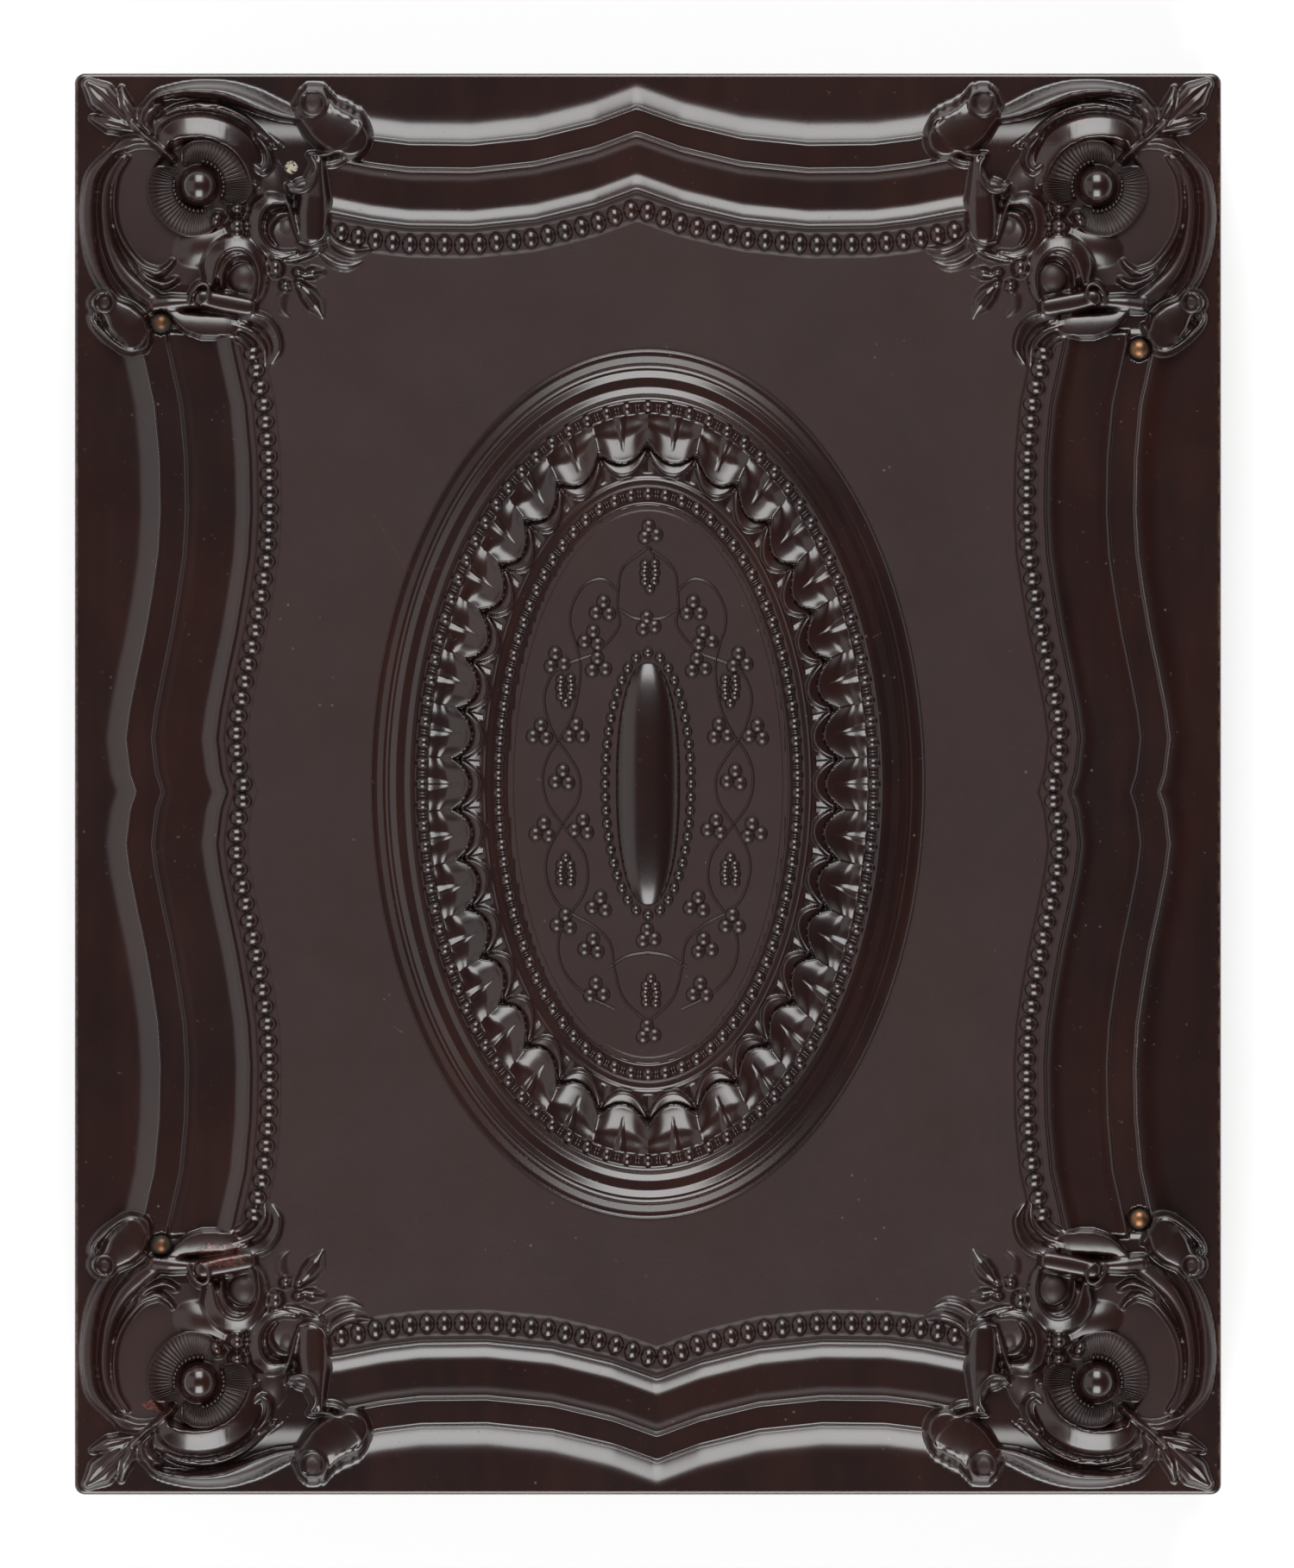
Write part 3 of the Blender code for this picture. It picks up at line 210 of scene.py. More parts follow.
def smooth_path(points, steps=8):
    """A curve through points: cubics whose slope at a point is half the step between its neighbours."""
    held = np.asarray(points, float)
    held = np.concatenate([2 * held[:1] - held[1:2], held, 2 * held[-1:] - held[-2:-1]])
    t = np.linspace(0.0, 1.0, steps, endpoint=False)[:, None, None]
    before, start, end, after = (held[i:len(held) - 3 + i][None] for i in range(4))
    curve = 0.5 * (2 * start + (end - before) * t + (2 * before - 5 * start + 4 * end - after) * t ** 2
                   + (3 * start - before - 3 * end + after) * t ** 3)
    run = curve.transpose(1, 0, 2).reshape(-1, held.shape[1])
    return np.concatenate([run, held[-2:-1]])


def even_path(points, step):
    """A run of points an even step apart along a line of points."""
    reach = np.concatenate([[0.0], np.cumsum(np.linalg.norm(np.diff(points, axis=0), axis=1))])
    count = max(int(round(reach[-1] / step)), 1) + 1
    places = np.linspace(0.0, reach[-1], count)
    return np.stack([np.interp(places, reach, points[:, k]) for k in range(points.shape[1])], axis=1)


def curl_path(centre, radii, turns, count=40):
    """A spiral about a centre: the radius runs evenly between two values as the angle turns, in degrees."""
    angle = np.radians(np.linspace(*turns, count))
    radius = np.linspace(*radii, count)
    return np.stack([centre[0] + radius * np.cos(angle), centre[1] + radius * np.sin(angle)], axis=1)


def eased(value, start, end, way="both"):
    """A climb from 0 at start to 1 at end: even, with its square at the start, at the end, or both."""
    t = np.clip((value - start) / (end - start), 0.0, 1.0)
    return {"even": t, "in": t ** 2, "out": 1 - (1 - t) ** 2, "both": t * t * (3 - 2 * t)}[way]


def end_wave(x, top):
    """The inward wave of the frame at an end: nought at its cusp, and read from the shares to either side."""
    cusp = np.where(top, TOP_CUSP, BOTTOM_CUSP)
    place = np.where(x > cusp, (x - cusp) / (HALF_WIDTH - cusp), (cusp - x) / (HALF_WIDTH + cusp))
    return END_WAVE * np.interp(place, END_PLACE_SHARES, END_WAVE_SHARES)


def side_wave(y):
    """The inward wave of the frame at a side."""
    place = np.where(y > SIDE_CUSP, (y - SIDE_CUSP) / (HALF_HEIGHT - SIDE_CUSP),
                     (SIDE_CUSP - y) / (HALF_HEIGHT + SIDE_CUSP))
    return SIDE_WAVE * np.interp(place, SIDE_PLACE_SHARES, SIDE_WAVE_SHARES)


def frame_section(depth, ridges):
    """Height of the frame over the field: the margin's, and each eased rise or fall of its section."""
    height = np.full(depth.shape, MARGIN)
    for ridge, start, end, rise, way in SECTION:
        height += rise * eased(depth, ridges[ridge] + start, ridges[ridge] + end, way)
    return height


class Carving:
    """A corner's height map, in millimetres over the field, on which forms are laid one after another."""

    def __init__(self, a, b, ground):
        self.a, self.b = a.ravel(), b.ravel()
        self.height = ground.ravel().copy()
        self.matte = np.zeros(self.height.shape)

    def near(self, low, high):
        """The places on the map inside a box."""
        inside = (self.a > low[0]) & (self.a < high[0]) & (self.b > low[1]) & (self.b < high[1])
        return np.flatnonzero(inside)

    def lay(self, where, height, matte, way):
        """Lays a form's height over the map, cuts the map down to it, or sets the map to it."""
        held = self.height[where]
        if way == "over":
            self.matte[where] = np.where(height > held, matte, self.matte[where])
            self.height[where] = np.maximum(held, height)
        elif way == "cut":
            self.height[where] = np.minimum(held, height)
        else:
            self.height[where] = height
            self.matte[where] = matte

    def band(self, path, widths, level, rise, section="round", way="over", matte=0.0):
        """A form along a path. Its half width, foot level and rise run with the path, and its section is a
        function of the distance from the path as a share of the half width, from -1 to 1."""
        run = np.asarray(path, float)
        widths, level, rise = (np.atleast_1d(np.asarray(v, float)) for v in (widths, level, rise))
        reach = widths.max() + 0.05
        where = self.near(run.min(0) - reach, run.max(0) + reach)
        if not len(where):
            return
        start, step = run[:-1], np.diff(run, axis=0)
        length = np.linalg.norm(step, axis=1)
        da = self.a[where][:, None] - start[:, 0]
        db = self.b[where][:, None] - start[:, 1]
        t = np.clip((da * step[:, 0] + db * step[:, 1]) / length ** 2, 0.0, 1.0)
        away = np.hypot(da - t * step[:, 0], db - t * step[:, 1])
        nearest = away.argmin(axis=1)
        rows = np.arange(len(where))
        side = np.sign(step[nearest, 0] * db[rows, nearest] - step[nearest, 1] * da[rows, nearest])
        reach_to = np.concatenate([[0.0], np.cumsum(length)])
        place = (reach_to[nearest] + t[rows, nearest] * length[nearest]) / reach_to[-1]

        def at(values):
            return np.interp(place, np.linspace(0.0, 1.0, len(values)), values)

        share = away[rows, nearest] / np.maximum(at(widths), 1e-6)
        height = at(level) + at(rise) * SECTIONS[section](np.clip(share * side, -1.0, 1.0))
        held = share < 1.0
        self.lay(where[held], height[held], matte, way)

    def dome(self, place, size, level, rise, turn=0.0, way="over", matte=0.0, power=0.5):
        """A round form: its rise times one less the squared distance from its middle, to a power."""
        where = self.near(np.array(place) - max(size), np.array(place) + max(size))
        da, db = self.a[where] - place[0], self.b[where] - place[1]
        cos, sin = math.cos(math.radians(turn)), math.sin(math.radians(turn))
        spread = ((da * cos + db * sin) / size[0]) ** 2 + ((db * cos - da * sin) / size[1]) ** 2
        held = spread < 1.0
        self.lay(where[held], level + rise * (1 - spread[held]) ** power, matte, way)


def slope(s):
    """Section with a short step at its right edge and a climb to a crest near its left edge."""
    climb = 0.5 * eased(s, -1.0, -0.7) + 0.5 * np.sin(np.clip((s + 0.9) / 1.7, 0.0, 1.0) * math.pi / 2) ** 1.3
    return climb * np.sqrt(np.clip((1 - s) / 0.2, 0.0, 1.0))


# Sections across a band, from its right edge at -1 to its left edge at 1.
SECTIONS = {
    "round": lambda s: (0.4 * eased(1 - np.abs(s), 0.0, 0.2, "even")
                        + 0.6 * np.sqrt(np.clip(1 - s * s, 0.0, 1.0))),
    "pillow": lambda s: (1 - np.abs(s) ** 3.2) ** 0.62,
    "slope_left": slope,
    "slope_right": lambda s: slope(-s),
    "gutter": lambda s: np.where(np.abs(s) < 0.8, 0.35 + 0.65 * (s / 0.8) ** 2, (1 - np.abs(s)) / 0.2),
    "leaf": lambda s: (1 - np.abs(s)) ** 0.45 * (0.62 + 0.38 * np.clip(np.abs(s) * 3.0, 0.0, 1.0)),
    "roll": lambda s: 0.55 * eased(s, -1.0, -0.72) + 0.45 * np.sqrt(1 - ((1 - s) / 2) ** 2),
    "plump": lambda s: 0.5 * eased(1 - np.abs(s), 0.0, 0.22) + 0.5 * (1 - s * s),
    "slab": lambda s: 0.84 * eased(1 - np.abs(s), 0.0, 0.32) + 0.16 * (1 - s * s),
    "mound": lambda s: (1 - s * s) ** 1.3,
}


def corner_ground(a, b):
    """Under the corner's forms: the margin, a rise to the dish inside the scrolls, and then the field."""
    ground = MARGIN + 0.5 * eased(np.minimum(a, b), 4.5, 8.0)
    inner = np.minimum(a - 2.5, b)
    return ground + (-MARGIN - 0.5) * eased(inner, 13.5, 18.0), eased(inner, 15.0, 18.0)


def softened(grid):
    """A grid averaged by quarters with its neighbours, twice each way, as old moulded relief is soft."""
    for _ in range(4):
        held = np.concatenate([grid[:1], grid, grid[-1:]])
        grid = (0.25 * (held[:-2] + held[2:]) + 0.5 * grid).T
    return grid


# The corner's ornament, from its lowest forms to its highest. A band has a path, half widths, the level of
# its foot, rises, a section, and how matte it is. Values in a bracket run along the path.
CORNER_BANDS = {
    "hollows": (
        (((9.4, 3.6), (12.8, 2.9), (16.1, 3.1), (19.0, 4.1), (21.6, 5.6), (23.6, 7.4), (24.3, 9.2)), (0.5,
         0.8, 1.1, 1.3, 1.2, 0.8), (-1.3, -1.3, -1.3, -1.2, -0.9), 0.35, "gutter", 0.1),
        (((4.4, 8.9), (3.0, 11.4), (2.6, 14.2), (2.8, 17.2), (3.7, 20.0), (5.2, 22.4)),
         (0.3, 0.5, 0.55, 0.5, 0.4), -1.35, 0.2, "gutter", 0.5),
    ),
    "scrolls": (
        (((5.15, 9.15), (3.9, 11.1), (3.35, 13.4), (3.4, 16.3), (4.0, 19.2), (5.4, 21.8), (7.3, 23.7),
         (9.0, 24.9)), (0.4, 0.6, 0.65, 0.65, 0.7, 0.9, 1.1, 0.9), -1.2, (0.6, 0.75, 0.8, 0.85, 1.0, 1.2,
         1.3), "pillow", 0.35),
        (((3.9, 8.7), (2.1, 10.8), (1.5, 13.2), (1.4, 16.3), (1.9, 19.8), (2.9, 22.5), (4.3, 24.4)), (0.4,
         0.62, 0.72, 0.72, 0.66, 0.5, 0.4), -1.3, (0.8, 1.0, 1.1, 1.1, 1.1, 1.0), "slope_right", 0.9),
        (((5.9, 9.2), (4.7, 11.3), (4.35, 13.9), (4.6, 16.4), (5.6, 18.7), (7.3, 20.8), (9.0, 21.5)),
         (0.12, 0.17, 0.17, 0.18, 0.2, 0.24), -0.9, (0.8, 0.85, 0.85, 0.9, 1.0), "round", 0.3),
        (((9.9, 4.4), (11.3, 3.8), (13.7, 3.55), (16.1, 3.9), (18.5, 5.1), (20.4, 6.8), (21.7, 7.9)),
         (0.25, 0.36, 0.4, 0.4, 0.34, 0.22), -0.95, (1.1, 1.3, 1.35, 1.3, 1.15, 0.9), "gutter", 0.1),
        (((7.2, 4.3), (8.3, 2.9), (9.7, 2.2), (12.8, 1.73), (16.1, 1.95), (18.5, 2.65), (20.4, 3.4),
         (22.1, 4.1), (24.2, 4.75)), (0.25, 0.4, 0.52, 0.66, 0.8, 0.95, 1.0, 0.85, 0.5), -1.3, (1.2, 1.6,
         1.8, 1.85, 1.9, 1.9, 1.8, 1.7), "slope_left", 0.15),
    ),
    "cowl": (
        (((9.5, 8.4), (9.9, 6.9), (11.4, 6.05), (13.6, 5.85), (15.9, 6.35), (17.9, 7.6), (19.2, 9.4),
         (19.8, 11.4)), (0.6, 1.3, 1.6, 1.65, 1.65, 1.55, 1.4, 1.1), -0.9, (1.3, 1.75, 1.95, 2.0, 1.95,
         1.75, 1.45, 1.1), "slope_left", 0.0),
        (((19.7, 6.9), (20.8, 8.3), (21.1, 9.7), (20.4, 10.6), (19.6, 10.1)), (0.2, 0.4, 0.5, 0.5, 0.3),
         -0.6, (0.8, 1.1, 1.2, 1.2, 0.9), "round", 0.2),
    ),
    "spray": (
        (((6.4, 6.0), (4.9, 4.5), (3.4, 3.0), (1.5, 1.2)), (0.3, 0.9, 1.45, 1.55, 0.6), -1.3,
         (1.1, 1.3, 1.4, 1.0), "leaf", 0.1),
        (((7.3, 6.5), (6.4, 4.9), (5.5, 3.2), (5.1, 1.7)), (0.25, 0.6, 0.8, 0.3), -1.3,
         (1.3, 1.6, 1.5, 0.9), "leaf", 0.1),
        (((7.1, 6.5), (5.4, 5.9), (3.6, 5.45), (2.0, 4.9)), (0.25, 0.75, 0.95, 0.35), -1.3,
         (1.3, 1.5, 1.4, 0.8), "leaf", 0.2),
        (((9.0, 8.0), (7.1, 7.4), (5.4, 7.8), (3.9, 8.7)), (0.25, 0.75, 0.85, 0.25), -1.2,
         (1.3, 1.6, 1.4, 0.8), "leaf", 0.3),
        (((8.3, 6.6), (7.6, 5.3), (8.0, 4.1), (9.3, 3.4)), (0.3, 0.85, 0.95, 0.35), -1.2,
         (1.3, 1.7, 1.6, 1.1), "leaf", 0.3),
        (((10.7, 9.4), (9.9, 8.6), (8.9, 7.8), (7.6, 6.8), (6.0, 5.3)), (0.36, 0.34, 0.28, 0.18), -0.8,
         (1.5, 1.5, 1.35, 1.1), "plump", 0.2),
    ),
    "crescents": (
        (((6.4, 20.1), (7.4, 21.2), (8.9, 21.7), (10.1, 21.1), (10.7, 20.4)), (0.2, 0.4, 0.5, 0.45, 0.28),
         -0.7, (0.7, 0.95, 1.05, 0.9), "mound", 0.1),
        (((6.8, 21.2), (8.1, 22.4), (9.8, 22.9), (11.0, 22.4)), (0.2, 0.45, 0.55, 0.35), -0.7,
         (0.7, 0.95, 1.05, 0.8), "mound", 0.1),
    ),
    "end_ribbon": (
        (((25.2, 4.2), (26.9, 5.4), (28.3, 6.3), (29.9, 7.2)), (1.7, 2.6, 3.0, 2.6), -1.0,
         (1.5, 1.7, 1.8, 1.85), "slab", 0.0),
        (((26.9, 1.9), (27.9, 3.2), (29.2, 4.2), (30.6, 4.8), (31.25, 5.7), (30.6, 6.9), (29.4, 7.95),
         (28.0, 8.7), (26.8, 8.95), (25.5, 8.9)), (0.25, 0.36, 0.42, 0.45, 0.42, 0.36, 0.3), -0.5, (1.05,
         1.3, 1.45, 1.45, 1.45, 1.3, 1.15), "mound", 0.1),
        (((26.1, 9.5), (27.8, 9.8), (29.3, 9.2), (30.6, 7.9)), (0.3, 0.5, 0.45, 0.15), -0.7,
         (0.7, 0.95, 0.9, 0.5), "round", 0.2),
    ),
    "upright_roll": (
        (((26.5, 9.6), (26.3, 11.0), (26.05, 13.0), (25.9, 15.0), (25.85, 17.5)), (0.7, 1.3, 1.85, 2.05,
         1.9), -0.7, (1.5, 1.85, 2.05, 2.05, 2.0), "pillow", 0.0),
        (((25.7, 9.2), (26.2, 10.3), (25.9, 12.0), (24.9, 12.95), (23.6, 12.9), (23.2, 12.2)), (0.14, 0.17,
         0.18, 0.2, 0.2, 0.14), -0.2, (1.4, 1.7, 1.65, 1.55, 1.4), "round", 0.1),
        (((22.9, 13.6), (23.5, 15.2), (24.0, 17.0), (24.4, 18.2)), (0.16, 0.18, 0.18, 0.14), -0.3,
         (1.2, 1.4, 1.4), "round", 0.0),
        (((24.4, 18.4), (25.6, 18.65), (26.8, 18.1), (27.3, 17.2)), (0.16, 0.2, 0.2, 0.12), -0.3, 1.35,
         "round", 0.0),
        (((26.4, 19.4), (28.2, 20.7), (29.8, 21.0), (31.2, 20.5)), (0.35, 0.75, 0.75, 0.3), -0.3,
         (0.6, 0.75, 0.75, 0.4), "mound", 0.3),
        (((27.3, 17.3), (28.5, 18.7), (30.3, 19.4), (32.2, 19.1)), (0.45, 0.9, 0.95, 0.35), -0.3,
         (0.9, 1.05, 1.0, 0.4), "mound", 0.2),
        (((21.4, 20.1), (23.2, 20.3), (25.4, 19.7), (27.2, 18.8)), (0.2, 0.4, 0.45, 0.25), -0.3,
         (0.6, 0.85, 0.9, 0.8), "round", 0.0),
    ),
    "end_volute": (
        (((22.9, 14.0), (21.4, 13.75), (20.1, 14.5), (19.55, 16.1), (19.75, 17.8), (20.8, 19.2),
         (22.4, 19.75), (24.1, 19.5)), (0.4, 0.85, 0.98, 0.95, 0.85, 0.7, 0.55, 0.3), -0.35, (1.2, 1.35,
         1.4, 1.4, 1.3, 1.2, 1.0), "slope_right", 0.0),
        (((23.2, 15.15), (21.9, 15.45), (21.1, 16.5), (21.15, 17.7), (21.9, 18.7)), (0.25, 0.5, 0.48, 0.4,
         0.2), -0.45, (1.0, 1.2, 1.15, 1.05, 0.9), "slope_right", 0.0),
    ),
    "side_volute": (
        (((14.7, 22.9), (14.85, 20.6), (15.9, 19.0), (17.5, 18.4), (19.0, 18.8), (20.1, 20.1),
         (20.5, 21.9), (20.3, 23.7), (19.6, 25.4)), (0.55, 1.0, 1.12, 1.1, 1.0, 0.85, 0.75, 0.65, 0.3),
         -0.35, (1.2, 1.4, 1.5, 1.5, 1.45, 1.35, 1.25, 1.1), "slope_left", 0.0),
        (((15.9, 23.2), (15.9, 21.5), (16.6, 20.2), (17.9, 19.6), (19.1, 20.0), (19.6, 21.0)), (0.3, 0.52,
         0.55, 0.48, 0.35, 0.2), -0.45, (1.1, 1.3, 1.35, 1.25, 1.0), "slope_left", 0.0),
    ),
    "bud": (
        (((24.3, 22.9), (25.2, 23.9), (26.2, 25.2), (26.9, 26.5)), (0.7, 1.35, 1.35, 0.3), -0.2,
         (0.8, 1.1, 1.0, 0.4), "mound", 0.1),
        (((23.2, 23.3), (22.4, 24.4), (22.5, 25.6), (23.3, 26.4)), (0.45, 0.9, 0.85, 0.3), -0.2,
         (0.5, 0.6, 0.5, 0.3), "mound", 0.7),
        (((24.9, 22.0), (26.0, 21.7), (26.9, 21.6)), (0.6, 0.95, 0.5), -0.1, (0.8, 0.95, 0.5), "mound",
         0.1),
    ),
    "side_ribbon": (
        (((8.7, 25.2), (10.4, 25.0), (12.3, 24.9), (13.8, 25.1)), (0.9, 0.95, 0.8, 0.5), -0.7,
         (1.2, 1.45, 1.45, 1.3), "round", 0.2),
        (((3.9, 25.3), (5.0, 26.5), (6.0, 27.6), (6.8, 28.9)), (1.4, 2.2, 2.5, 1.9), -1.0,
         (1.5, 1.6, 1.65, 1.55), "slab", 0.0),
        (((2.0, 26.3), (2.5, 27.5), (4.2, 29.2), (5.9, 30.15), (7.05, 29.9), (8.0, 28.5), (8.5, 27.3)),
         (0.28, 0.36, 0.4, 0.46, 0.48, 0.38, 0.28), -1.1, (1.3, 1.6, 1.75, 1.95, 1.95, 1.7, 1.35), "mound",
         0.1),
        (((14.0, 24.45), (16.1, 24.9), (18.8, 25.4)), (1.2, 1.3, 1.25), -0.6, 1.9, "slab", 0.05),
        (((12.5, 25.1), (12.8, 23.9), (13.6, 22.95), (14.5, 23.2), (14.6, 24.4), (13.7, 25.2)), (0.14,
         0.18, 0.2, 0.2, 0.18, 0.12), -0.3, (1.3, 1.6, 1.8, 1.8, 1.7), "round", 0.0),
        (((10.6, 26.0), (12.2, 26.9), (14.2, 27.35), (16.4, 27.35), (18.3, 27.3)), (0.5, 1.15, 1.45, 1.3,
         0.7), -0.6, (1.1, 1.4, 1.55, 1.5, 1.1), "roll", 0.1),
        (((18.2, 26.4), (20.3, 26.9), (21.5, 28.2), (21.9, 30.0), (21.0, 31.9)), (0.6, 0.85, 0.85, 0.7,
         0.12), -0.3, (1.2, 1.35, 1.3, 1.0, 0.3), "slope_right", 0.0),
        (((17.3, 27.6), (19.2, 28.3), (20.4, 29.8), (20.6, 31.9)), (0.4, 0.55, 0.5, 0.12), -0.3,
         (1.0, 1.2, 1.0, 0.3), "slope_right", 0.0),
        (((15.9, 28.2), (18.0, 28.9), (19.3, 30.3), (20.0, 32.0)), (0.25, 0.4, 0.35, 0.1), -0.3,
         (0.8, 0.9, 0.8, 0.2), "round", 0.0),
    ),
}
BALL, BALL_SIZE, BALL_FOOT, BALL_RISE = (13.49, 12.25), (2.05, 2.05), -0.35, 1.93
FAN_HOLLOW, FAN_FLOOR = (5.0, 5.0), -1.15
# Bands thinner than this are carved wider, as a soft mound, and carry a cord.
THIN, THIN_WIDENING = 0.27, 1.8
# The scrolled ends of the ribbons: place, reach, levels of the hollow and of the rim, and the rim's turns.
EYES = (((25.8, 3.32), 1.4, 0.1, 0.8, (-115, 215)), ((3.25, 24.9), 1.12, -0.2, 0.6, (-60, 270)))
EYE_RIM_HALF = 0.42
# Round forms: place, half sizes, foot, rise, turn in degrees, power of the section, and how matte each is.
CORNER_DOMES = {
    "dish": (
        ((13.0, 13.4), (8.9, 9.6), -0.9, 0.45, 0, 0.8, 0.75),
        ((14.2, 18.6), (4.0, 2.6), -0.85, 1.1, -14, 0.9, 0.3),
        ((21.2, 12.6), (2.2, 3.9), -0.9, 0.8, -14, 0.9, 0.35),
    ),
    "beads": (
        ((17.65, 14.75), (0.95, 0.85), -0.5, 1.45, 0, 0.5, 0),
        ((17.65, 16.65), (1.1, 1.05), -0.5, 1.75, 0, 0.5, 0),
        ((15.4, 15.9), (0.75, 1.0), -0.6, 1.25, 30, 0.5, 0),
        ((21.82, 21.15), (1.05, 1.2), -0.4, 1.7, 0, 0.5, 0),
        ((24.3, 21.65), (0.75, 0.6), -0.1, 1.1, 10, 0.5, 0),
        ((22.9, 23.1), (0.8, 0.75), -0.1, 1.05, 30, 0.5, 0),
        ((24.3, 22.9), (0.6, 0.6), -0.1, 1.0, 0, 0.5, 0),
    ),
    "eyes": (
        ((18.35, 22.25), (1.55, 1.6), -0.4, 0.6, 0, 0.8, 1.0),
        ((23.0, 17.2), (1.3, 1.7), -0.6, 0.6, 0, 0.8, 0.9),
        ((24.5, 12.35), (1.35, 0.75), -0.3, 1.25, -25, 0.3, 0.5),
    ),
}


def carve_corner(carving):
    """Lays the ornament of one corner, from its lowest forms to its highest."""

    def bands(groups, way="over"):
        for group in groups:
            for points, widths, level, rise, section, matte in CORNER_BANDS[group]:
                if np.max(widths) < THIN:
                    widths, section = np.multiply(widths, THIN_WIDENING), "mound"
                carving.band(smooth_path(points), widths, level, rise, section, way, matte)

    def round_forms(group):
        for place, size, level, rise, turn, power, matte in CORNER_DOMES[group]:
            carving.dome(place, size, level, rise, turn, power=power, matte=matte)

    bands(["hollows"], "cut")
    round_forms("dish")
    bands(["scrolls", "cowl"])
    carving.dome(BALL, FAN_HOLLOW, FAN_FLOOR, 0.0, way="cut")
    carving.dome(BALL, BALL_SIZE, BALL_FOOT, BALL_RISE)
    bands(["crescents", "spray", "end_volute", "side_volute"])
    round_forms("beads")
    round_forms("eyes")
    bands(["bud", "end_ribbon", "upright_roll", "side_ribbon"])
    for eye, reach, floor, rim, turns in EYES:
        carving.dome(eye, (reach, reach), floor, 0.0, way="set", matte=1.0)
        carving.band(eye_rim(eye, reach, turns), EYE_RIM_HALF, floor, rim - floor, "mound", matte=0.2)
    carving.height = np.clip(carving.height, MARGIN - SINK, TOP_RISE - 0.02)


def eye_rim(eye, reach, turns):
    """The path of the rim round a ribbon's scrolled end, which closes in a little."""
    return curl_path(eye, (reach, reach - 0.1), turns)


# Each fan: its turns round the ball from the way of a, and its outer reach there.
FANS = (
    ((-124, -113, -97, -81, -60, -36, -9, 4, 16, 27, 34), (3.2, 4.4, 4.85, 4.95, 5.0, 5.2, 5.65, 5.8, 5.45,
     4.6, 3.3)),
    ((55, 63, 74, 90, 104, 123, 146, 169, 190, 205, 216), (3.3, 4.5, 5.1, 5.4, 5.6, 5.55, 5.45, 5.5, 5.4,
     4.9, 3.3)),
)
FAN_INNER = 2.55
FAN_RIBS = 38
FAN_ROWS = 11
FAN_RIM_RADIUS = 0.12
CORNERS = ((-1, -1), (-1, 1), (1, -1), (1, 1))


def fan_forms(columns):
    """The ribbed fans and the paths of their rims in one corner: hollow, and deepest near the ball."""
    fans, rims = [], []
    for turns, reaches in FANS:
        share = np.linspace(0.0, 1.0, columns * FAN_RIBS + 1)
        turn = np.radians(np.interp(share, np.linspace(0.0, 1.0, len(turns)), turns))
        reach = np.interp(np.degrees(turn), turns, reaches)
        run = np.linspace(0.0, 1.0, FAN_ROWS)[:, None]
        ribs = 0.5 - 0.5 * np.cos(2 * math.pi * FAN_RIBS * share)
        ends = np.clip(np.minimum(share, 1 - share) / 0.06, 0.0, 1.0)
        climb = (0.5 * run ** 1.6 + 0.62 * run ** 6) * ends

        def round_ball(radius, height):
            a, b = BALL[0] + radius * np.cos(turn), BALL[1] + radius * np.sin(turn)
            return np.stack([a, b, height], axis=-1)

        fans.append(round_ball(FAN_INNER + (reach - FAN_INNER) * run,
                               -0.95 + climb + 0.31 * ribs * np.sin(run * math.pi) ** 0.5))
        rims.append(round_ball(reach, 0.02 + 0.5 * (ends - 1))[::2])
    return fans, rims


def corner_surface():
    """The carved and softened corner on an even grid, for cords that lie on it: a row for each b."""
    line = np.arange(0.0, CORNER_SPAN + 2.0, RELIEF_STEP)
    a, b = np.meshgrid(line, line)
    carving = Carving(a, b, corner_ground(a, b)[0])
    carve_corner(carving)
    return softened(carving.height.reshape(a.shape))


def surface_along(surface, run):
    """The surface's height along a run, from the grid points round each place, averaged over nine places."""
    place = run / RELIEF_STEP
    low = np.clip(place.astype(int), 0, len(surface) - 2)
    (p, q), (i, j) = (place - low).T, low.T
    height = ((surface[j, i] * (1 - p) + surface[j, i + 1] * p) * (1 - q)
              + (surface[j + 1, i] * (1 - p) + surface[j + 1, i + 1] * p) * q)
    return np.convolve(np.pad(height, 4, mode="edge"), np.full(9, 1 / 9), mode="valid")


def thin_cords():
    """The corner's thinnest bands and the rims of its eyes, as paths and radii of cords on its surface."""
    lines = [(smooth_path(points), widths) for bands in CORNER_BANDS.values() for points, widths, *_ in bands
             if np.max(widths) < THIN]
    lines += [(eye_rim(eye, reach, turns), (0.1, 0.16, 0.14)) for eye, reach, _, _, turns in EYES]
    lines += [(curl_path((18.35, 22.25), (1.66, 1.6), (185, 330)), (0.06, 0.12, 0.06))]
    surface, cords = corner_surface(), []
    for path, widths in lines:
        run = even_path(path, 0.2)
        radius = np.interp(np.linspace(0.0, 1.0, len(run)), np.linspace(0.0, 1.0, len(widths)), widths)
        cords.append((np.column_stack([run, surface_along(surface, run) - 0.15 * radius]), radius))
    return cords


def ball_seeds():
    """Places of the seeds that lie round the ball where the fans begin."""
    turns = np.radians(np.concatenate([np.linspace(-80, 22, 11), np.linspace(82, 190, 12)]))
    return np.stack([BALL[0] + 2.7 * np.cos(turns), BALL[1] + 2.7 * np.sin(turns)], axis=1)


def in_corner(points, sx, sy):
    """Places a and b of a corner as x and y of the face, with any height kept."""
    moved = np.array(points, float)
    moved[..., 0], moved[..., 1] = sx * (HALF_WIDTH - moved[..., 0]), sy * (HALF_HEIGHT - moved[..., 1])
    return moved


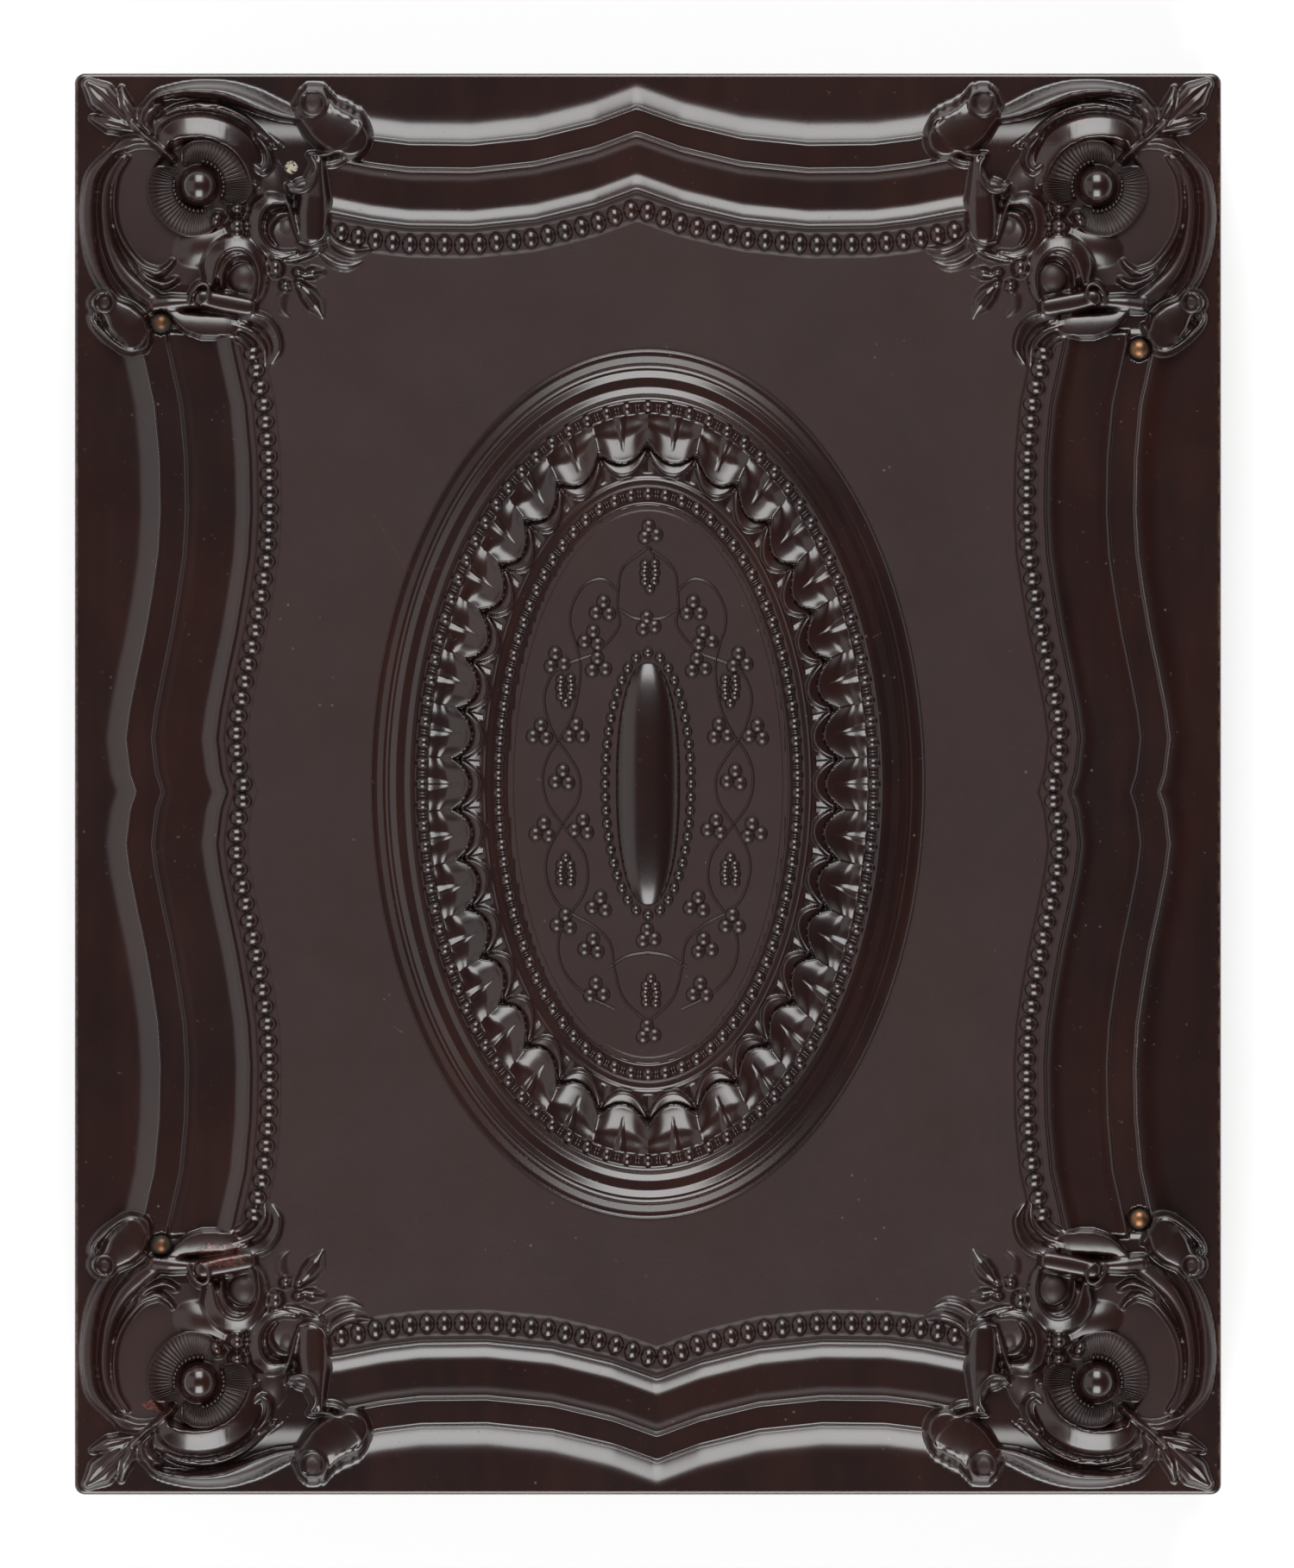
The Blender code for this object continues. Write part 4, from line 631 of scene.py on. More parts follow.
def make_fans(half, finish, columns):
    """The fans, their rims, the thin cords and the seeds of all four corners."""
    forms, edges = fan_forms(columns)
    lines = [(path, FAN_RIM_RADIUS) for path in edges] + thin_cords()
    fans = [(in_corner(grid, sx, sy).reshape(-1, 3), grid_faces(*grid.shape[:2])[:, ::-sx * sy])
            for sx, sy in CORNERS for grid in forms]
    cords = [tube(in_corner(path, *corner), radius) for corner in CORNERS for path, radius in lines]
    seeds = np.concatenate([in_corner(ball_seeds(), *corner) for corner in CORNERS])
    add_relief(half, "fans", fans, finish, 0.45)
    add_relief(half, "corner_cords", cords, finish, 0.15)
    add_relief(half, "ball_seeds", [domes(seeds, 0.0, (0.27, 0.27), -0.95, 0.85, 5)], finish, 0.1)


def edge_lines(half, step, plain_step, ridges):
    """Grid lines over half a face, as depths from its outline: close round the edge and over the relief, with
    one on each crease of the frame's section, and wider apart over the plain middle."""
    turns = np.radians(np.linspace(90.0, 0.0, 6))[:-1]
    creases = {round(ridges[ridge] + place, 3) for ridge, *ends, _, _ in SECTION for place in ends}
    marks = [EDGE_ROUND, *sorted(crease for crease in creases if crease > EDGE_ROUND), CORNER_SPAN]
    lines = [EDGE_ROUND * (1 - np.sin(turns))]
    for low, high in zip(marks[:-1], marks[1:]):
        lines.append(np.linspace(low, high, max(int(math.ceil((high - low) / step)), 1), endpoint=False))
    lines.append(np.linspace(CORNER_SPAN, half, int(math.ceil((half - CORNER_SPAN) / plain_step)) + 1))
    return np.concatenate(lines)


def warp(depth):
    """How much of the frame's wave a grid line follows: none at the outline, and all of it over the frame."""
    return eased(depth, WARP_START, WARP_FULL) * (1 - eased(depth, WARP_EASE, WARP_END))


def rounded_corner(x, y):
    """Draws the outline's square corners in: what lies past a corner's centre maps from square to disc."""
    over_x = np.clip(np.abs(x) - (HALF_WIDTH - CORNER_ROUND), 0.0, None) / CORNER_ROUND
    over_y = np.clip(np.abs(y) - (HALF_HEIGHT - CORNER_ROUND), 0.0, None) / CORNER_ROUND
    new_x = x - np.sign(x) * CORNER_ROUND * over_x * (1 - np.sqrt(1 - over_y ** 2 / 2))
    new_y = y - np.sign(y) * CORNER_ROUND * over_y * (1 - np.sqrt(1 - over_x ** 2 / 2))
    return new_x, new_y


def outline_depth(x, y):
    """Distance in from the outline, a rectangle with round corners."""
    qx = np.abs(x) - (HALF_WIDTH - CORNER_ROUND)
    qy = np.abs(y) - (HALF_HEIGHT - CORNER_ROUND)
    outside = np.hypot(np.maximum(qx, 0.0), np.maximum(qy, 0.0))
    return CORNER_ROUND - outside - np.minimum(np.maximum(qx, qy), 0.0)


# Marks of use on the cover: the chip, as reach in from the edges; where the surface has come off, as place
# and half sizes; and fine scratches, as the places of their ends and whether they are red.
CHIP, CHIP_SIZE = (23.49, 10.23), 0.7
LOSSES = ((-46.1, -51.0, 2.6, 1.2), (-53.1, -67.2, 1.4, 0.8))
SCRATCHES = (
    (-30.0, 29.8, -26.2, 23.2, 1.0),
    (-26.6, 24.4, -23.4, 19.5, 1.0),
    (39.1, 3.9, 42.0, 3.5, 1.0),
    (-12.2, 0.6, -11.2, 0.3, 0.0),
    (-27.6, -26.2, -26.4, -27.0, 0.0),
)


def frame_height(x, y):
    """The frame's height over a face, whether each place is nearer an end, and how matte it is."""
    end_depth = HALF_HEIGHT - np.abs(y) - end_wave(x, y > 0)
    side_depth = HALF_WIDTH - np.abs(x) - side_wave(y)
    at_end = end_depth / END_RIDGES[2] < side_depth / SIDE_RIDGES[2]
    height = np.where(at_end, frame_section(end_depth, END_RIDGES), frame_section(side_depth, SIDE_RIDGES))
    third = np.where(at_end, end_depth - END_RIDGES[2], side_depth - SIDE_RIDGES[2])
    return height, at_end, eased(third, 0.1, 0.25)


def carved_corner(a, b, height, at_end, matte):
    """A corner square's height and matte with its ornament, softened where a form was laid."""
    start = np.where(b < END_FRAME_SPLIT, END_FRAME_STARTS[0], END_FRAME_STARTS[1])
    shown = np.where(at_end, eased(a, start - FRAME_FADE, start),
                     eased(b, SIDE_FRAME_START - FRAME_FADE, SIDE_FRAME_START))
    shown = np.maximum(shown, 1 - eased(np.minimum(a, b), 0.5, 1.0))
    ground, dull = corner_ground(a, b)
    carving = Carving(a, b, height * shown + ground * (1 - shown))
    carving.matte = (matte * shown + dull * (1 - shown)).ravel()
    bare = carving.height.copy()
    carve_corner(carving)
    carved = carving.height.reshape(a.shape)
    formed = (np.abs(carving.height - bare) > 0.01).reshape(a.shape).astype(float)
    carved = carved + (softened(carved) - carved) * np.clip(2 * softened(formed), 0.0, 1.0)
    return carved, carving.matte.reshape(a.shape)


def carved_face(step, plain_step, pins, chipped):
    """A face as grids of x, y, height over the field and marks, with the sizes of its corner squares."""
    across = edge_lines(HALF_WIDTH, step, plain_step, SIDE_RIDGES)
    along = edge_lines(HALF_HEIGHT, step, plain_step, END_RIDGES)
    u = np.concatenate([across - HALF_WIDTH, HALF_WIDTH - across[-2::-1]])
    v = np.concatenate([along - HALF_HEIGHT, HALF_HEIGHT - along[-2::-1]])
    columns, rows = int(np.searchsorted(across, CORNER_SPAN)), int(np.searchsorted(along, CORNER_SPAN))
    x, y = np.meshgrid(u, v)
    y = y - np.sign(y) * end_wave(x, y > 0) * warp(HALF_HEIGHT - np.abs(y))
    x = x - np.sign(x) * side_wave(y) * warp(HALF_WIDTH - np.abs(x))
    x, y = rounded_corner(x, y)
    height, at_end, matte = frame_height(x, y)
    for sx, sy in CORNERS:
        pick = (slice(0, rows + 1) if sy < 0 else slice(-rows - 1, None),
                slice(0, columns + 1) if sx < 0 else slice(-columns - 1, None))
        a, b = HALF_WIDTH - sx * x[pick], HALF_HEIGHT - sy * y[pick]
        height[pick], matte[pick] = carved_corner(a, b, height[pick], at_end[pick], matte[pick])
    for px, py in pins:
        height = np.where(np.hypot(x - px, y - py) < PIN_SEAT, np.minimum(height, PIN_SEAT_LEVEL), height)

    depth = outline_depth(x, y)
    inset = EDGE_ROUND - np.minimum(depth, EDGE_ROUND)
    rounding = EDGE_ROUND - np.sqrt(np.clip(EDGE_ROUND ** 2 - inset ** 2, 0, None))
    chip, loss = 0 * x, 0 * x
    if chipped:
        chip_away = np.hypot(x + HALF_WIDTH - CHIP[0], y - HALF_HEIGHT + CHIP[1])
        chip = np.clip(1.35 - chip_away / CHIP_SIZE, 0.0, 1.0)
        for place_x, place_y, half_x, half_y in LOSSES:
            loss = np.maximum(loss, 1.5 - np.hypot((x - place_x) / half_x, (y - place_y) / half_y))
        loss = np.clip(loss, 0.0, 1.0)
    return {"x": x, "y": y, "height": height - rounding, "rows": rows, "columns": columns,
            "marks": {"matte": matte, "wear": 1 - eased(depth, 0.1, 0.5), "chip": chip, "loss": loss}}


def grid_normals(points):
    """Unit normals of a grid of points, from the differences to the neighbours along rows and columns."""
    normal = np.cross(np.gradient(points, axis=1), np.gradient(points, axis=0))
    return normal / np.maximum(np.linalg.norm(normal, axis=-1, keepdims=True), 1e-12)


def oval_reach(x, y, half_axes, more):
    """Distance from the middle as a share of the way to an oval whose half axes are made larger."""
    return np.hypot(x / (half_axes[0] + more), y / (half_axes[1] + more))


def make_face(half, face, finish):
    """Cuts the face into corner squares, frame strips and field, which share border points and normals."""
    flipped = half == "base"
    points = np.stack([face["x"], face["y"], raised(half, face["height"])], axis=-1)
    normals = grid_normals(points) * (-1.0 if flipped else 1.0)
    rows, columns = points.shape[:2]
    row_cuts = (0, face["rows"], rows - 1 - face["rows"], rows - 1)
    column_cuts = (0, face["columns"], columns - 1 - face["columns"], columns - 1)
    outer = oval_reach(face["x"], face["y"], OVAL_OUTER, -OVAL_LAP_OUTER)
    covered_points = (outer < 1) & (oval_reach(face["x"], face["y"], OVAL_INNER, OVAL_LAP_INNER) > 1)
    for i, row_name in enumerate(("foot", "middle", "head")):
        for j, column_name in enumerate(("hinge_side", "middle", "clasp_side")):
            pick = (slice(row_cuts[i], row_cuts[i + 1] + 1), slice(column_cuts[j], column_cuts[j + 1] + 1))
            faces = grid_faces(*covered_points[pick].shape)
            faces = faces[~covered_points[pick].ravel()[faces].all(axis=1)]
            used, faces = np.unique(faces, return_inverse=True)
            faces = faces.reshape(-1, 4)
            marks = {mark: values[pick].ravel()[used] for mark, values in face["marks"].items()}
            new_piece(f"{half}_relief_{row_name}_{column_name}", half, finish,
                      points[pick].reshape(-1, 3)[used], faces[:, ::-1] if flipped else faces, marks,
                      normals[pick].reshape(-1, 3)[used])


def merged_solid(node):
    """A node's solid with its loose triangles joined, in a bmesh of its own."""
    work = bmesh.new()
    work.from_mesh(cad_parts[node].data)
    bmesh.ops.remove_doubles(work, verts=work.verts[:], dist=MERGE_DISTANCE)
    return work


def finished_bmesh(work, name, body, finish, replaced):
    """Turns a bmesh into a piece that replaces a node, smooth but for its sharp edges."""
    mesh = bpy.data.meshes.new(name)
    work.to_mesh(mesh)
    work.free()
    mesh.shade_smooth()
    mesh.set_sharp_from_angle(angle=math.radians(SOLID_SHARP_DEGREES))
    return placed(name, mesh, body, finish, [replaced])


def make_shell(half, finish):
    """A half's walls and inside: its solid, cut level where the face's outline ends, and closed there."""
    work = merged_solid(f"{half}_shell")
    up = 1 if half == "cover" else -1
    cut = raised(half, MARGIN - EDGE_ROUND) * MM
    cut_through = bmesh.ops.bisect_plane(work, geom=work.verts[:] + work.edges[:] + work.faces[:],
                                         plane_co=(0.0, 0.0, cut), plane_no=(0.0, 0.0, up), clear_outer=True)
    edges = [item for item in cut_through["geom_cut"] if isinstance(item, bmesh.types.BMEdge)]
    bmesh.ops.triangle_fill(work, use_beauty=True, edges=edges, normal=(0.0, 0.0, up))
    finished_bmesh(work, f"{half}_body", half, finish, f"{half}_shell")


def disc_grid(count):
    """A square grid drawn onto a half ball of radius 1: its points and its faces."""
    line = np.linspace(-1.0, 1.0, count)
    p, q = np.meshgrid(line, line)
    u, v = p * np.sqrt(1 - q * q / 2), q * np.sqrt(1 - p * p / 2)
    reach = np.clip(np.hypot(u, v), 0.0, 1.0)
    scale = np.where(reach > 0, np.sin(reach * math.pi / 2) / np.maximum(reach, 1e-9), 1.0)
    points = np.stack([u * scale, v * scale, np.cos(reach * math.pi / 2)], axis=-1).reshape(-1, 3)
    return points, grid_faces(count, count)


def domes(places, turns, halves, feet, rises, count=7):
    """Half balls, stretched to their half sizes, turned in the plane and set on their feet."""
    unit, faces = disc_grid(count)
    places = np.asarray(places, float)
    halves = np.broadcast_to(halves, (len(places), 2))
    turns = np.broadcast_to(turns, len(places))[:, None]
    u, v = unit[:, 0] * halves[:, :1], unit[:, 1] * halves[:, 1:]
    cos, sin = np.cos(turns), np.sin(turns)
    x, y = places[:, :1] + u * cos - v * sin, places[:, 1:2] + u * sin + v * cos
    points = np.stack([x, y, np.broadcast_to(feet + rises * unit[:, 2], u.shape)], axis=-1)
    return points.reshape(-1, 3), many_faces(len(places), len(unit), faces)


def tube(path, radius, sides=6):
    """A cord lying on the face: rings of points round a path, square to its run in the plane."""
    run = np.gradient(path[:, :2], axis=0)
    run /= np.maximum(np.linalg.norm(run, axis=1, keepdims=True), 1e-12)
    out = np.stack([-run[:, 1], run[:, 0], np.zeros(len(run))], axis=1)
    angle = np.linspace(0.0, 2 * math.pi, sides, endpoint=False)[:, None]
    ring = out[:, None] * np.cos(angle) + np.array([0.0, 0.0, 1.0]) * np.sin(angle)
    radius = np.broadcast_to(np.asarray(radius, float), len(path))
    points = path[:, None] + ring * radius[:, None, None]
    return points.reshape(-1, 3), grid_faces(len(path), sides, wrapped=True)[:, ::-1]


def raised(half, height):
    """Heights over the field as the half's own levels, up for the cover and down for the base."""
    return FIELD + height if half == "cover" else TOP_RISE - height


def add_relief(half, name, parts, finish, matte=0.0):
    """One piece from several forms that lie on a half's face, with its faces turned outward."""
    points, faces = stacked(parts)
    if half == "base":
        faces = faces[:, ::-1]
    laid = np.column_stack([points[:, :2], raised(half, points[:, 2])])
    marks = {"matte": np.full(len(points), matte)}
    return new_piece(f"{half}_{name}", half, finish, laid, faces, marks)


def frame_runs(ridge, inset, starts, pitch):
    """The frame's four runs at an inset from a ridge: places an even pitch apart, and the steps between."""
    x = np.linspace(starts[0] - HALF_WIDTH, HALF_WIDTH - starts[0], END_RUN_PLACES)
    y = np.linspace(starts[1] - HALF_HEIGHT, HALF_HEIGHT - starts[1], SIDE_RUN_PLACES)
    runs = []
    for is_top in (True, False):
        end_y = HALF_HEIGHT - (END_RIDGES[ridge] + inset) - end_wave(x, is_top)
        runs.append(np.stack([x, end_y if is_top else -end_y], axis=1))
    for side in (-1, 1):
        runs.append(np.stack([side * (HALF_WIDTH - (SIDE_RIDGES[ridge] + inset) - side_wave(y)), y], axis=1))
    runs = [even_path(run, pitch) for run in runs]
    return [(run, np.gradient(run, axis=0)) for run in runs]


def frame_beads():
    """The frame's beads, an even pitch apart along each side of the frame and turned with it."""
    runs = frame_runs(2, BEAD_DEPTH, BEAD_STARTS, BEAD_PITCH)
    turns = np.concatenate([np.arctan2(step[:, 1], step[:, 0]) for _, step in runs])
    return domes(np.concatenate([run for run, _ in runs]), turns, (0.9, 1.08), -0.2, 0.76)


def milled_cord():
    """The toothed line on the first ridge: a low strip whose crest rises and falls at each tooth."""
    parts = []
    for run, step in frame_runs(0, -0.02, TOOTH_STARTS, TOOTH_PITCH / 2 * QUICK_COARSENING):
        out = np.stack([-step[:, 1], step[:, 0]], axis=1) / np.linalg.norm(step, axis=1)[:, None]
        flat = run[:, None] + out[:, None] * np.array([-0.2, -0.09, 0.09, 0.2])[:, None]
        foot = np.full(len(run), -0.85)
        crest = -0.48 + 0.1 * np.array([0.0, 0.5, 1.0, 0.5])[np.arange(len(run)) % 4]
        grid = np.concatenate([flat, np.stack([foot, crest, crest, foot], axis=1)[..., None]], axis=-1)
        parts.append((grid.reshape(-1, 3), grid_faces(len(run), 4)[:, ::-1]))
    return parts


def oval_angles(half_axes, count, offset=0.0):
    """Angles of points an even distance apart round an oval, counted from its top."""
    fine = np.linspace(0.0, 2 * math.pi, 4001) + math.pi / 2
    x, y = half_axes[0] * np.cos(fine), half_axes[1] * np.sin(fine)
    reach = np.concatenate([[0.0], np.cumsum(np.hypot(np.diff(x), np.diff(y)))])
    return np.interp((np.arange(count) + offset) / count * reach[-1], reach, fine)


def oval_at(share):
    """Half axes of the medallion's oval at a share of its run inward."""
    return tuple(o + (i - o) * share for o, i in zip(OVAL_OUTER, OVAL_INNER))


def medallion_height(share, phase):
    """Height of the medallion over the field.

    Outside the leaves and inside the eggs it is a turned section. Between them, each unit has a scalloped lip
    whose reach falls with the distance from the unit's middle, a hollow leaf that rises to the lip and to the
    joints beside it, a keeled dart that tapers down its middle, and a round egg under the lip on its arc."""
    turned = np.interp(share, OVAL_RUN_SHARES, OVAL_HEIGHTS)
    inner = np.interp(share, INNER_RUN_SHARES, INNER_HEIGHTS)
    side = 2 * np.abs(phase)
    lip = LEAF_TIP_SHARE - LEAF_ARC_SHARE * side ** 2.2
    run = np.clip((share - LEAF_START_SHARE) / (lip - LEAF_START_SHARE), 0.0, 1.0)
    hollow = 0.5 * np.clip((side - 0.4) / 0.6, 0.0, 1.0) ** 2 * (1 - 0.6 * run)
    leaf = 0.72 - 0.36 * eased(run, 0.0, 0.5) + 0.9 * eased(run, 0.22, 1.05) + hollow
    taper = np.clip(1 - run / 0.74, 0.0, 1.0)
    leaf += 0.36 * taper ** 0.6 * np.clip(1 - side / np.maximum(0.24 * taper, 1e-6), 0.0, 1.0)
    leaf += 0.09 * np.exp(-((share - lip + 0.006) / 0.005) ** 2)
    leaf = np.minimum(leaf, 1.5)

    egg_half = EGG_SHARE * np.sqrt(np.clip(1 - (side / 0.97) ** 4, 0.0, 1.0)) + 1e-6
    egg_run = (share - lip - 0.009 - EGG_SHARE) / egg_half
    flank = np.clip(0.56 + 0.42 * (egg_run + 1) / 1.3, 0.0, 0.98)
    flank *= np.sqrt(np.clip(1 - (np.maximum(egg_run - 0.3, 0.0) / 0.7) ** 2, 0.0, 1.0))
    egg = 0.22 + 0.94 * flank * np.sqrt(np.clip(1 - side ** 3, 0.0, 1.0))
    under = 0.24 + 0.1 * eased(share, 0.7, 0.775)
    under -= 0.2 * np.clip((side - 0.75) / 0.25, 0.0, 1.0) * (share < 0.76)
    bed = np.maximum(under, np.where(np.abs(egg_run) < 1, egg, 0.0))
    carved = np.where(share < lip, leaf, bed)
    return np.where(share < OVAL_RUN_SHARES[-1], turned, np.where(share < INNER_RUN_SHARES[0], carved, inner))


def make_medallion(half, finish, unit_columns, run_steps):
    """The medallion on a grid of angle and run inward, with its leaves evenly spaced at their middle: the
    turned rings outside the leaves as one piece, and the leaves with what is inside them as two."""
    columns = OVAL_UNITS * unit_columns
    angles = oval_angles(oval_at(0.56), columns)
    marks = sorted({*OVAL_RUN_SHARES, *INNER_RUN_SHARES, LEAF_START_SHARE})
    lines = [np.linspace(low, high, max(int(math.ceil((high - low) * run_steps)), 1), endpoint=False)
             for low, high in zip(marks[:-1], marks[1:])]
    shares = np.concatenate(lines + [[1.0]])
    share, angle = np.meshgrid(shares, angles, indexing="ij")
    phase = (np.arange(columns) / unit_columns) % 1.0 - 0.5
    a, b = oval_at(share)
    height = medallion_height(share, np.broadcast_to(phase, share.shape))
    matte = 0.35 * eased(share, 0.952, 0.98) + 0.1 * (share > 0.4)
    grid = np.stack([a * np.cos(angle), b * np.sin(angle), height, matte], axis=-1)
    grid = np.concatenate([grid, grid[:, :1]], axis=1)
    split, turn = int(np.searchsorted(shares, LEAF_START_SHARE)), columns // 2
    for name, rows, across in (("rings", slice(0, split + 1), slice(0, columns + 1)),
                               ("leaves_head", slice(split, None), slice(0, turn + 1)),
                               ("leaves_foot", slice(split, None), slice(turn, columns + 1))):
        tile = grid[rows, across]
        flat = tile.reshape(-1, 4)
        form = (flat[:, :3], grid_faces(*tile.shape[:2]))
        add_relief(half, f"medallion_{name}", [form], finish, flat[:, 3])


def ring_forms(half_axes, count, halves, foot, rise, offset=0.0, size=7):
    """Domes an even distance apart round an oval, and turned with it."""
    angles = oval_angles(half_axes, count, offset)
    x, y = half_axes[0] * np.cos(angles), half_axes[1] * np.sin(angles)
    turns = np.arctan2(half_axes[1] * np.cos(angles), -half_axes[0] * np.sin(angles))
    return domes(np.stack([x, y], axis=1), turns, halves, foot, rise, size)


def bead_and_reel(share, count, halves, foot, rise, reel_rise):
    """A ring of beads round the medallion with two thin reels between each pair."""
    ring = oval_at(share)
    return [ring_forms(ring, count, halves, foot, rise),
            *(ring_forms(ring, count, REEL_HALVES, foot, reel_rise, place, 5) for place in REEL_PLACES)]


# Sprays of the centre, from its middle: x and y of each form on the left, and the vines' points. The last
# vine stands in the middle and isn't mirrored.
TREFOILS = ((-4.9, 18.9), (-6.1, 15.7), (-9.9, 13.3), (-5.4, 12.8), (-11.7, 5.5), (-7.8, 5.6),
            (-11.4, -5.1), (-7.2, -4.7), (-9.1, -15.0), (-5.3, -13.1), (-5.6, -22.4), (-6.1, -17.6),
            (-9.3, 0.6))
MIDDLE_TREFOILS = ((0.2, 27.2), (0.0, 17.3), (0.0, -26.9), (0.0, -16.5))
GRAPES = ((-8.9, 10.0, 1), (-8.9, -9.2, -1))
MIDDLE_GRAPES = ((0.2, 22.4, 1), (0.3, -22.3, -1))
VINES = (
    ((0.1, 25.7), (-2.7, 23.4), (-3.2, 20.9), (-3.3, 19.0), (-3.1, 17.2), (-4.4, 15.3), (-5.8, 14.1),
     (-8.5, 13.1), (-10.3, 11.9), (-11.2, 9.6), (-10.9, 7.2), (-9.9, 4.9), (-8.6, 3.1), (-7.4, 0.8),
     (-7.6, -1.8), (-9.4, -4.6)),
    ((-3.2, 20.9), (-4.9, 22.2), (-6.9, 21.5), (-8.2, 19.3), (-8.4, 17.2), (-7.7, 14.9), (-7.3, 12.6),
     (-7.5, 10.2), (-8.0, 7.9), (-9.2, 5.4), (-10.8, 3.0), (-11.4, 0.5), (-10.8, -2.2), (-9.0, -4.7),
     (-7.0, -7.4), (-6.5, -9.9), (-7.0, -12.0), (-8.6, -14.4), (-9.7, -17.0), (-9.2, -20.0), (-7.0, -22.6),
     (-3.6, -24.4)),
    ((-9.4, -4.6), (-10.9, -7.6), (-10.9, -10.4), (-9.5, -13.2), (-6.0, -15.3), (-4.1, -17.2),
     (-3.6, -20.2), (-2.6, -23.3), (0.1, -25.9)),
    ((-3.1, 18.9), (-1.6, 18.0), (0.0, 17.8)),
    ((-4.2, -19.8), (-2.2, -18.6), (0.0, -18.2)),
    ((0.2, 25.6), (0.6, 24.6), (0.3, 23.8)),
)


def cluster(x, y, way, radius):
    """A bunch of grapes: rows of two, two and two, and one at the tip."""
    step = radius * 1.75
    rows = ((-0.55, 1.5), (0.55, 1.6), (-0.62, 0.5), (0.62, 0.55), (-0.55, -0.5), (0.5, -0.45), (0.0, -1.4))
    return [(x + u * step * 1.1, y + v * step * way) for u, v in rows]


def trefoil(x, y, radius):
    """Three berries that touch."""
    turns = np.radians((90.0, 210.0, 330.0)) + 0.2 * math.sin(7 * x + 3 * y)
    return [(x + radius * 1.05 * math.cos(t), y + radius * 1.05 * math.sin(t)) for t in turns]


def make_sprays(half, finish):
    """Vines as thin cords, and berries and grapes as low domes, mirrored about the long middle line."""
    berries, grapes, vines = [], [], []
    for mirror in (1, -1):
        for x, y in TREFOILS:
            berries += trefoil(x * mirror, y, BERRY_SPREADS[0])
        for x, y, way in GRAPES:
            grapes += cluster(x * mirror, y, way, GRAPE_SPREAD)
        for points in VINES if mirror == 1 else VINES[:-1]:
            path = even_path(smooth_path(np.array(points) * (mirror, 1.0)), VINE_STEP * QUICK_COARSENING)
            vines.append(tube(np.column_stack([path, np.full(len(path), VINE_LEVEL)]), VINE_RADIUS))
    for x, y in MIDDLE_TREFOILS:
        berries += trefoil(x, y, BERRY_SPREADS[1])
    for x, y, way in MIDDLE_GRAPES:
        grapes += cluster(x, y, way, GRAPE_SPREAD)
    add_relief(half, "vines", vines, finish, 0.4)
    add_relief(half, "berries", [domes(berries, 0.0, (0.8, 0.8), -SINK, 0.56)], finish, 0.4)
    add_relief(half, "grapes", [domes(grapes, 0.0, (0.6, 0.6), -SINK, 0.58)], finish, 0.05)


def closed_at_poles(points, faces, columns, ends=(0, -1)):
    """Joins a ring of points that lie on one spot, first or last, into one point."""
    index = np.arange(len(points))
    for end in ends:
        ring = index[:columns] if end == 0 else index[-columns:]
        index[ring] = ring[0]
    used, compact = np.unique(index, return_inverse=True)
    return points[used], compact[index[faces]]


def make_boss(half, finish):
    """The long oval boss: domed rings, steep at the foot and nearly flat along its middle."""
    rings, columns = BOSS_GRID
    reach = np.sin(np.linspace(0.0, math.pi / 2, rings))
    angle = np.linspace(0.0, 2 * math.pi, columns, endpoint=False)
    r, t = np.meshgrid(reach, angle, indexing="ij")
    x, y = (size * r * np.sign(way) * np.abs(way) ** fullness
            for size, way, fullness in zip(BOSS_HALVES, (np.cos(t), np.sin(t)), BOSS_FULLNESS))
    z = -SINK + (TOP_RISE + BOSS_PAST_TOP) * (1 - r ** 2.2) ** 0.62
    faces = grid_faces(rings, columns, wrapped=True)[:, ::-1]
    form = closed_at_poles(np.stack([x, y, z], axis=-1).reshape(-1, 3), faces, columns, ends=(0,))
    add_relief(half, "boss", [form], finish)


def rounded_rectangle(half_x, half_y, radius, step):
    """Points an even step apart round a rectangle with round corners, against the clock, and the way out."""
    turns = np.radians(np.linspace(0.0, 90.0, max(int(radius * 1.6 / step), 4) + 1))
    points, outs = [], []
    for quarter, (sx, sy) in enumerate(((1, 1), (-1, 1), (-1, -1), (1, -1))):
        turn = turns + quarter * math.pi / 2
        out = np.stack([np.cos(turn), np.sin(turn)], axis=1)
        centre = np.array([sx * (half_x - radius), sy * (half_y - radius)])
        points.append(centre + radius * out)
        outs.append(out)
        reach = 2 * ((half_x if quarter % 2 == 0 else half_y) - radius)
        count = max(int(reach / step), 1)
        run = np.linspace(0.0, reach, count + 1)[1:-1]
        way = np.array([-out[-1, 1], out[-1, 0]])
        points.append(points[-1][-1] + run[:, None] * way)
        outs.append(np.repeat(out[-1:], len(run), axis=0))
    return np.concatenate(points), np.concatenate(outs)


def carried_profile(points, outs, profile):
    """A closed profile of way out and height, carried along a closed path; a profile of three axes changes
    with the place on the path."""
    profile = np.asarray(profile, float)
    if profile.ndim == 2:
        profile = np.broadcast_to(profile, (len(points), *profile.shape))
    flat = points[:, None] + outs[:, None] * profile[..., :1]
    grid = np.concatenate([flat, profile[..., 1:]], axis=-1)
    faces = grid_faces(len(points), profile.shape[1], wrapped=True)
    last = np.arange(profile.shape[1])
    first, end = last, (len(points) - 1) * profile.shape[1] + last
    seam = np.stack([end, np.roll(end, -1), np.roll(first, -1), first], axis=1)
    return grid.reshape(-1, 3), np.concatenate([faces, seam])


